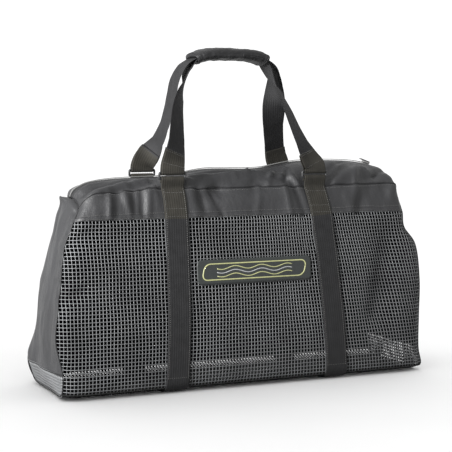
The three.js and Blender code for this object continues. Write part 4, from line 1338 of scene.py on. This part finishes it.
# Zip
def add_zip():
    u = even(-0.995, 0.995, 0.002)
    ridge = np.full_like(u, RIDGE)
    path, outs = resampled(skin(u, ridge), outward(body_point, u, ridge), TOOTH_PITCH)
    tangent = tangents(path)
    across = np.cross(outs, tangent)
    long, wide, high = (size / 2 for size in TOOTH_SIZE)
    profile = [(-1, 0), (-0.8, 0.75), (0.8, 0.75), (1, 0), (0.8, -0.75), (-0.8, -0.75)]
    vertices = []
    for row, side in enumerate((-1, 1)):
        middle = path + tangent * (row * TOOTH_PITCH / 2) + outs * (TOOTH_LIFT + high)
        middle = middle + across * (side * wide * TOOTH_SPREAD)
        for end in (-1, 1):
            for a, b in profile:
                vertices.append(middle + tangent * (a * long) + outs * (b * high) + across * (end * wide))
    points = np.stack(vertices, 1).reshape(-1, 3)
    k = np.arange(6)
    sides = np.stack([k, (k + 1) % 6, 6 + (k + 1) % 6, 6 + k], -1)
    teeth = 12 * np.arange(2 * len(path))
    walls = (teeth[:, None, None] + sides).reshape(-1, 4)
    faces = [walls, np.concatenate([teeth[:, None] + k[::-1], teeth[:, None] + 6 + k])]
    build("zip_teeth_rows", points, faces, [TEETH], ("zip_chain",), smooth=False)


def rounded_block(name, node, lengths, bevel, material):
    """A block with rounded edges in the place of a CAD box, which gives its middle and its lean."""
    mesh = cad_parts[node].data
    corners = np.array([v.co for v in mesh.vertices])
    middle = (corners.min(0) + corners.max(0)) / 2
    spread = corners - corners.mean(0)
    long_way = np.linalg.svd(spread - spread.mean(0))[2][0]
    lean = math.atan2(long_way[2] * np.sign(long_way[0]), abs(long_way[0]))
    bpy.ops.mesh.primitive_cube_add(size=1)
    piece = bpy.context.object
    piece.name = name
    piece.scale = [size * 0.001 for size in lengths]
    bpy.ops.object.transform_apply(scale=True)
    modifier = piece.modifiers.new("edges", "BEVEL")
    modifier.width = bevel * 0.001
    modifier.segments = 4
    piece.location = middle
    piece.rotation_euler = (0, -lean, 0)
    piece.data.materials.append(material)
    for polygon in piece.data.polygons:
        polygon.use_smooth = True
    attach(piece, "root")
    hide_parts(node)
    return piece


# Patch
def patch_surface(x, height):
    """A point and the way out on the front at x and height."""
    v = np.linspace(CORNER, YOKE_EDGE, 300)
    z = body_point(np.zeros_like(v), v)[:, 2]
    line = np.interp(height, z, v)
    u = u_at(x, line)
    for _ in range(3):
        line = line + (height - body_point(u, line)[..., 2]) / 60
        u = u_at(x, line)
    return skin(u, line), outward(body_point, u, line)


def patch_backing(x, height):
    points, outs = patch_surface(x, height)
    outer = points + outs * (PATCH_LIFT + PATCH_THICKNESS)
    vertices, faces, uv = closed_sheet(outer, points + outs * PATCH_LIFT)
    build("patch_backing", vertices, faces, [BACKING], ("patch",), uv)


def rounded_band(half_width, half_height, radius, slant):
    """The closed outline of a slanted rounded block, from its middle."""
    points = rounded_corners(half_width, half_height, radius, 9)[:, :2]
    points[:, 0] += slant * points[:, 1]
    return np.concatenate([points, points[:1]])


def add_patch():
    middle = PATCH_ABOVE_BOTTOM + BOTTOM_LIFT
    half = np.linspace(-1, 1, 97)
    reach = PATCH_WIDTH / 2
    edge = np.clip((np.abs(half) * reach - (reach - PATCH_CORNER)) / PATCH_CORNER, 0, 1)
    tall = PATCH_HEIGHT / 2 - PATCH_CORNER * (1 - np.sqrt(np.maximum(0, 1 - edge**2)))
    rows = np.linspace(-1, 1, 13)
    x = PATCH_SHIFT + half[:, None] * reach + 0 * rows[None]
    height = middle + tall[:, None] * rows[None]
    patch_backing(x, height)
    lift = PATCH_LIFT + PATCH_THICKNESS
    lines = [(rounded_band(PATCH_WIDTH / 2 - 14, PATCH_HEIGHT / 2 - 9, 12, 0.25), 3.0, PALE_PRINT)]
    t = np.linspace(-1, 1, 60)
    for row in (-1, 0, 1):
        wave = np.stack([t * (PATCH_WIDTH / 2 - 44), 3.2 * np.sin(t * 9) + row * 7.5], -1)
        lines.append((wave, 2.2, PALE_PRINT if row else GREY_PRINT))
    for color, label in ((PALE_PRINT, "pale"), (GREY_PRINT, "grey")):
        runs = []
        for outline, width, material in lines:
            if material is not color:
                continue
            fine = spaced(outline, outline, PRINT_STEP)
            points, outs = patch_surface(PATCH_SHIFT + fine[:, 0], middle + fine[:, 1])
            across, out = path_frame(points, outs)
            runs.append((points + out * (lift + 0.2), across * width / 3, out))
        sweep(f"patch_{label}_lines", runs, flat_section(3, 0.8, 6), [color])


# Surroundings
def add_camera():
    data = bpy.data.cameras.new("camera")
    data.sensor_fit = "HORIZONTAL"
    data.sensor_width = SENSOR_WIDTH
    data.lens = FOCAL_LENGTH
    data.clip_end = 100
    camera = bpy.data.objects.new("camera", data)
    flat = math.cos(CAMERA_RISE)
    away = Vector((-math.sin(CAMERA_YAW) * flat, -math.cos(CAMERA_YAW) * flat, math.sin(CAMERA_RISE)))
    camera.location = CAMERA_TARGET + away * CAMERA_DISTANCE
    camera.rotation_euler = (-away).to_track_quat("-Z", "Y").to_euler()
    bpy.context.scene.collection.objects.link(camera)
    bpy.context.scene.camera = camera


def add_light(name, place, aim, size, power, spared):
    """A square lamp that lights everything but the objects in the collection spared."""
    data = bpy.data.lights.new(name, "AREA")
    data.size = size
    data.energy = power
    light = bpy.data.objects.new(name, data)
    light.light_linking.receiver_collection = spared
    light.location = place
    light.rotation_euler = (Vector(aim) - Vector(place)).to_track_quat("-Z", "Y").to_euler()
    bpy.context.scene.collection.objects.link(light)


def add_surroundings():
    world = bpy.data.worlds.new("studio")
    world.use_nodes = True
    background = world.node_tree.nodes["Background"]
    background.inputs["Color"].default_value = (1, 1, 1, 1)
    background.inputs["Strength"].default_value = 1.12
    bpy.context.scene.world = world
    bpy.context.scene.view_settings.view_transform = "Standard"
    bpy.ops.mesh.primitive_plane_add(size=14, location=(0, 0, 0))
    floor = bpy.context.object
    floor.name = "floor"
    shader = Shader("pale_floor", (0.96, 0.96, 0.96), 0.9, Specular_IOR_Level=0.1)
    shader.color(shader.ramp(shader.noise(3, 2), [(0.3, (0.95, 0.95, 0.95)), (0.7, (0.97, 0.97, 0.97))]))
    floor.data.materials.append(shader.material)
    floor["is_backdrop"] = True
    spared = bpy.data.collections.new("spared")
    spared.objects.link(floor)
    spared.collection_objects[0].light_linking.link_state = "EXCLUDE"
    add_light("key", (-2.2, -0.85, 1.15), (-0.2, 0, 0.25), 0.5, 270, spared)
    add_light("top", (-0.9, -0.9, 2.4), (-0.1, 0, 0.4), 0.5, 10, spared)


add_camera()
add_surroundings()
add_panels()
add_ends()
add_front_net()
add_bottom_net()
add_corner_nets()
add_body_straps()
add_rings()
add_handles()
add_grip()
add_grip_trim()
add_piping()
add_hem()
add_stitches()
add_zip()
rounded_block("moulded_slider", "zip_slider", (16, 11, 4), 1.2, TEETH)
rounded_block("moulded_pull", "zip_pull", (24, 9, 1.6), 0.6, PLASTIC)
add_patch()

boxes = [[list(corner) for corner in box] for box in (cad_box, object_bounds())]
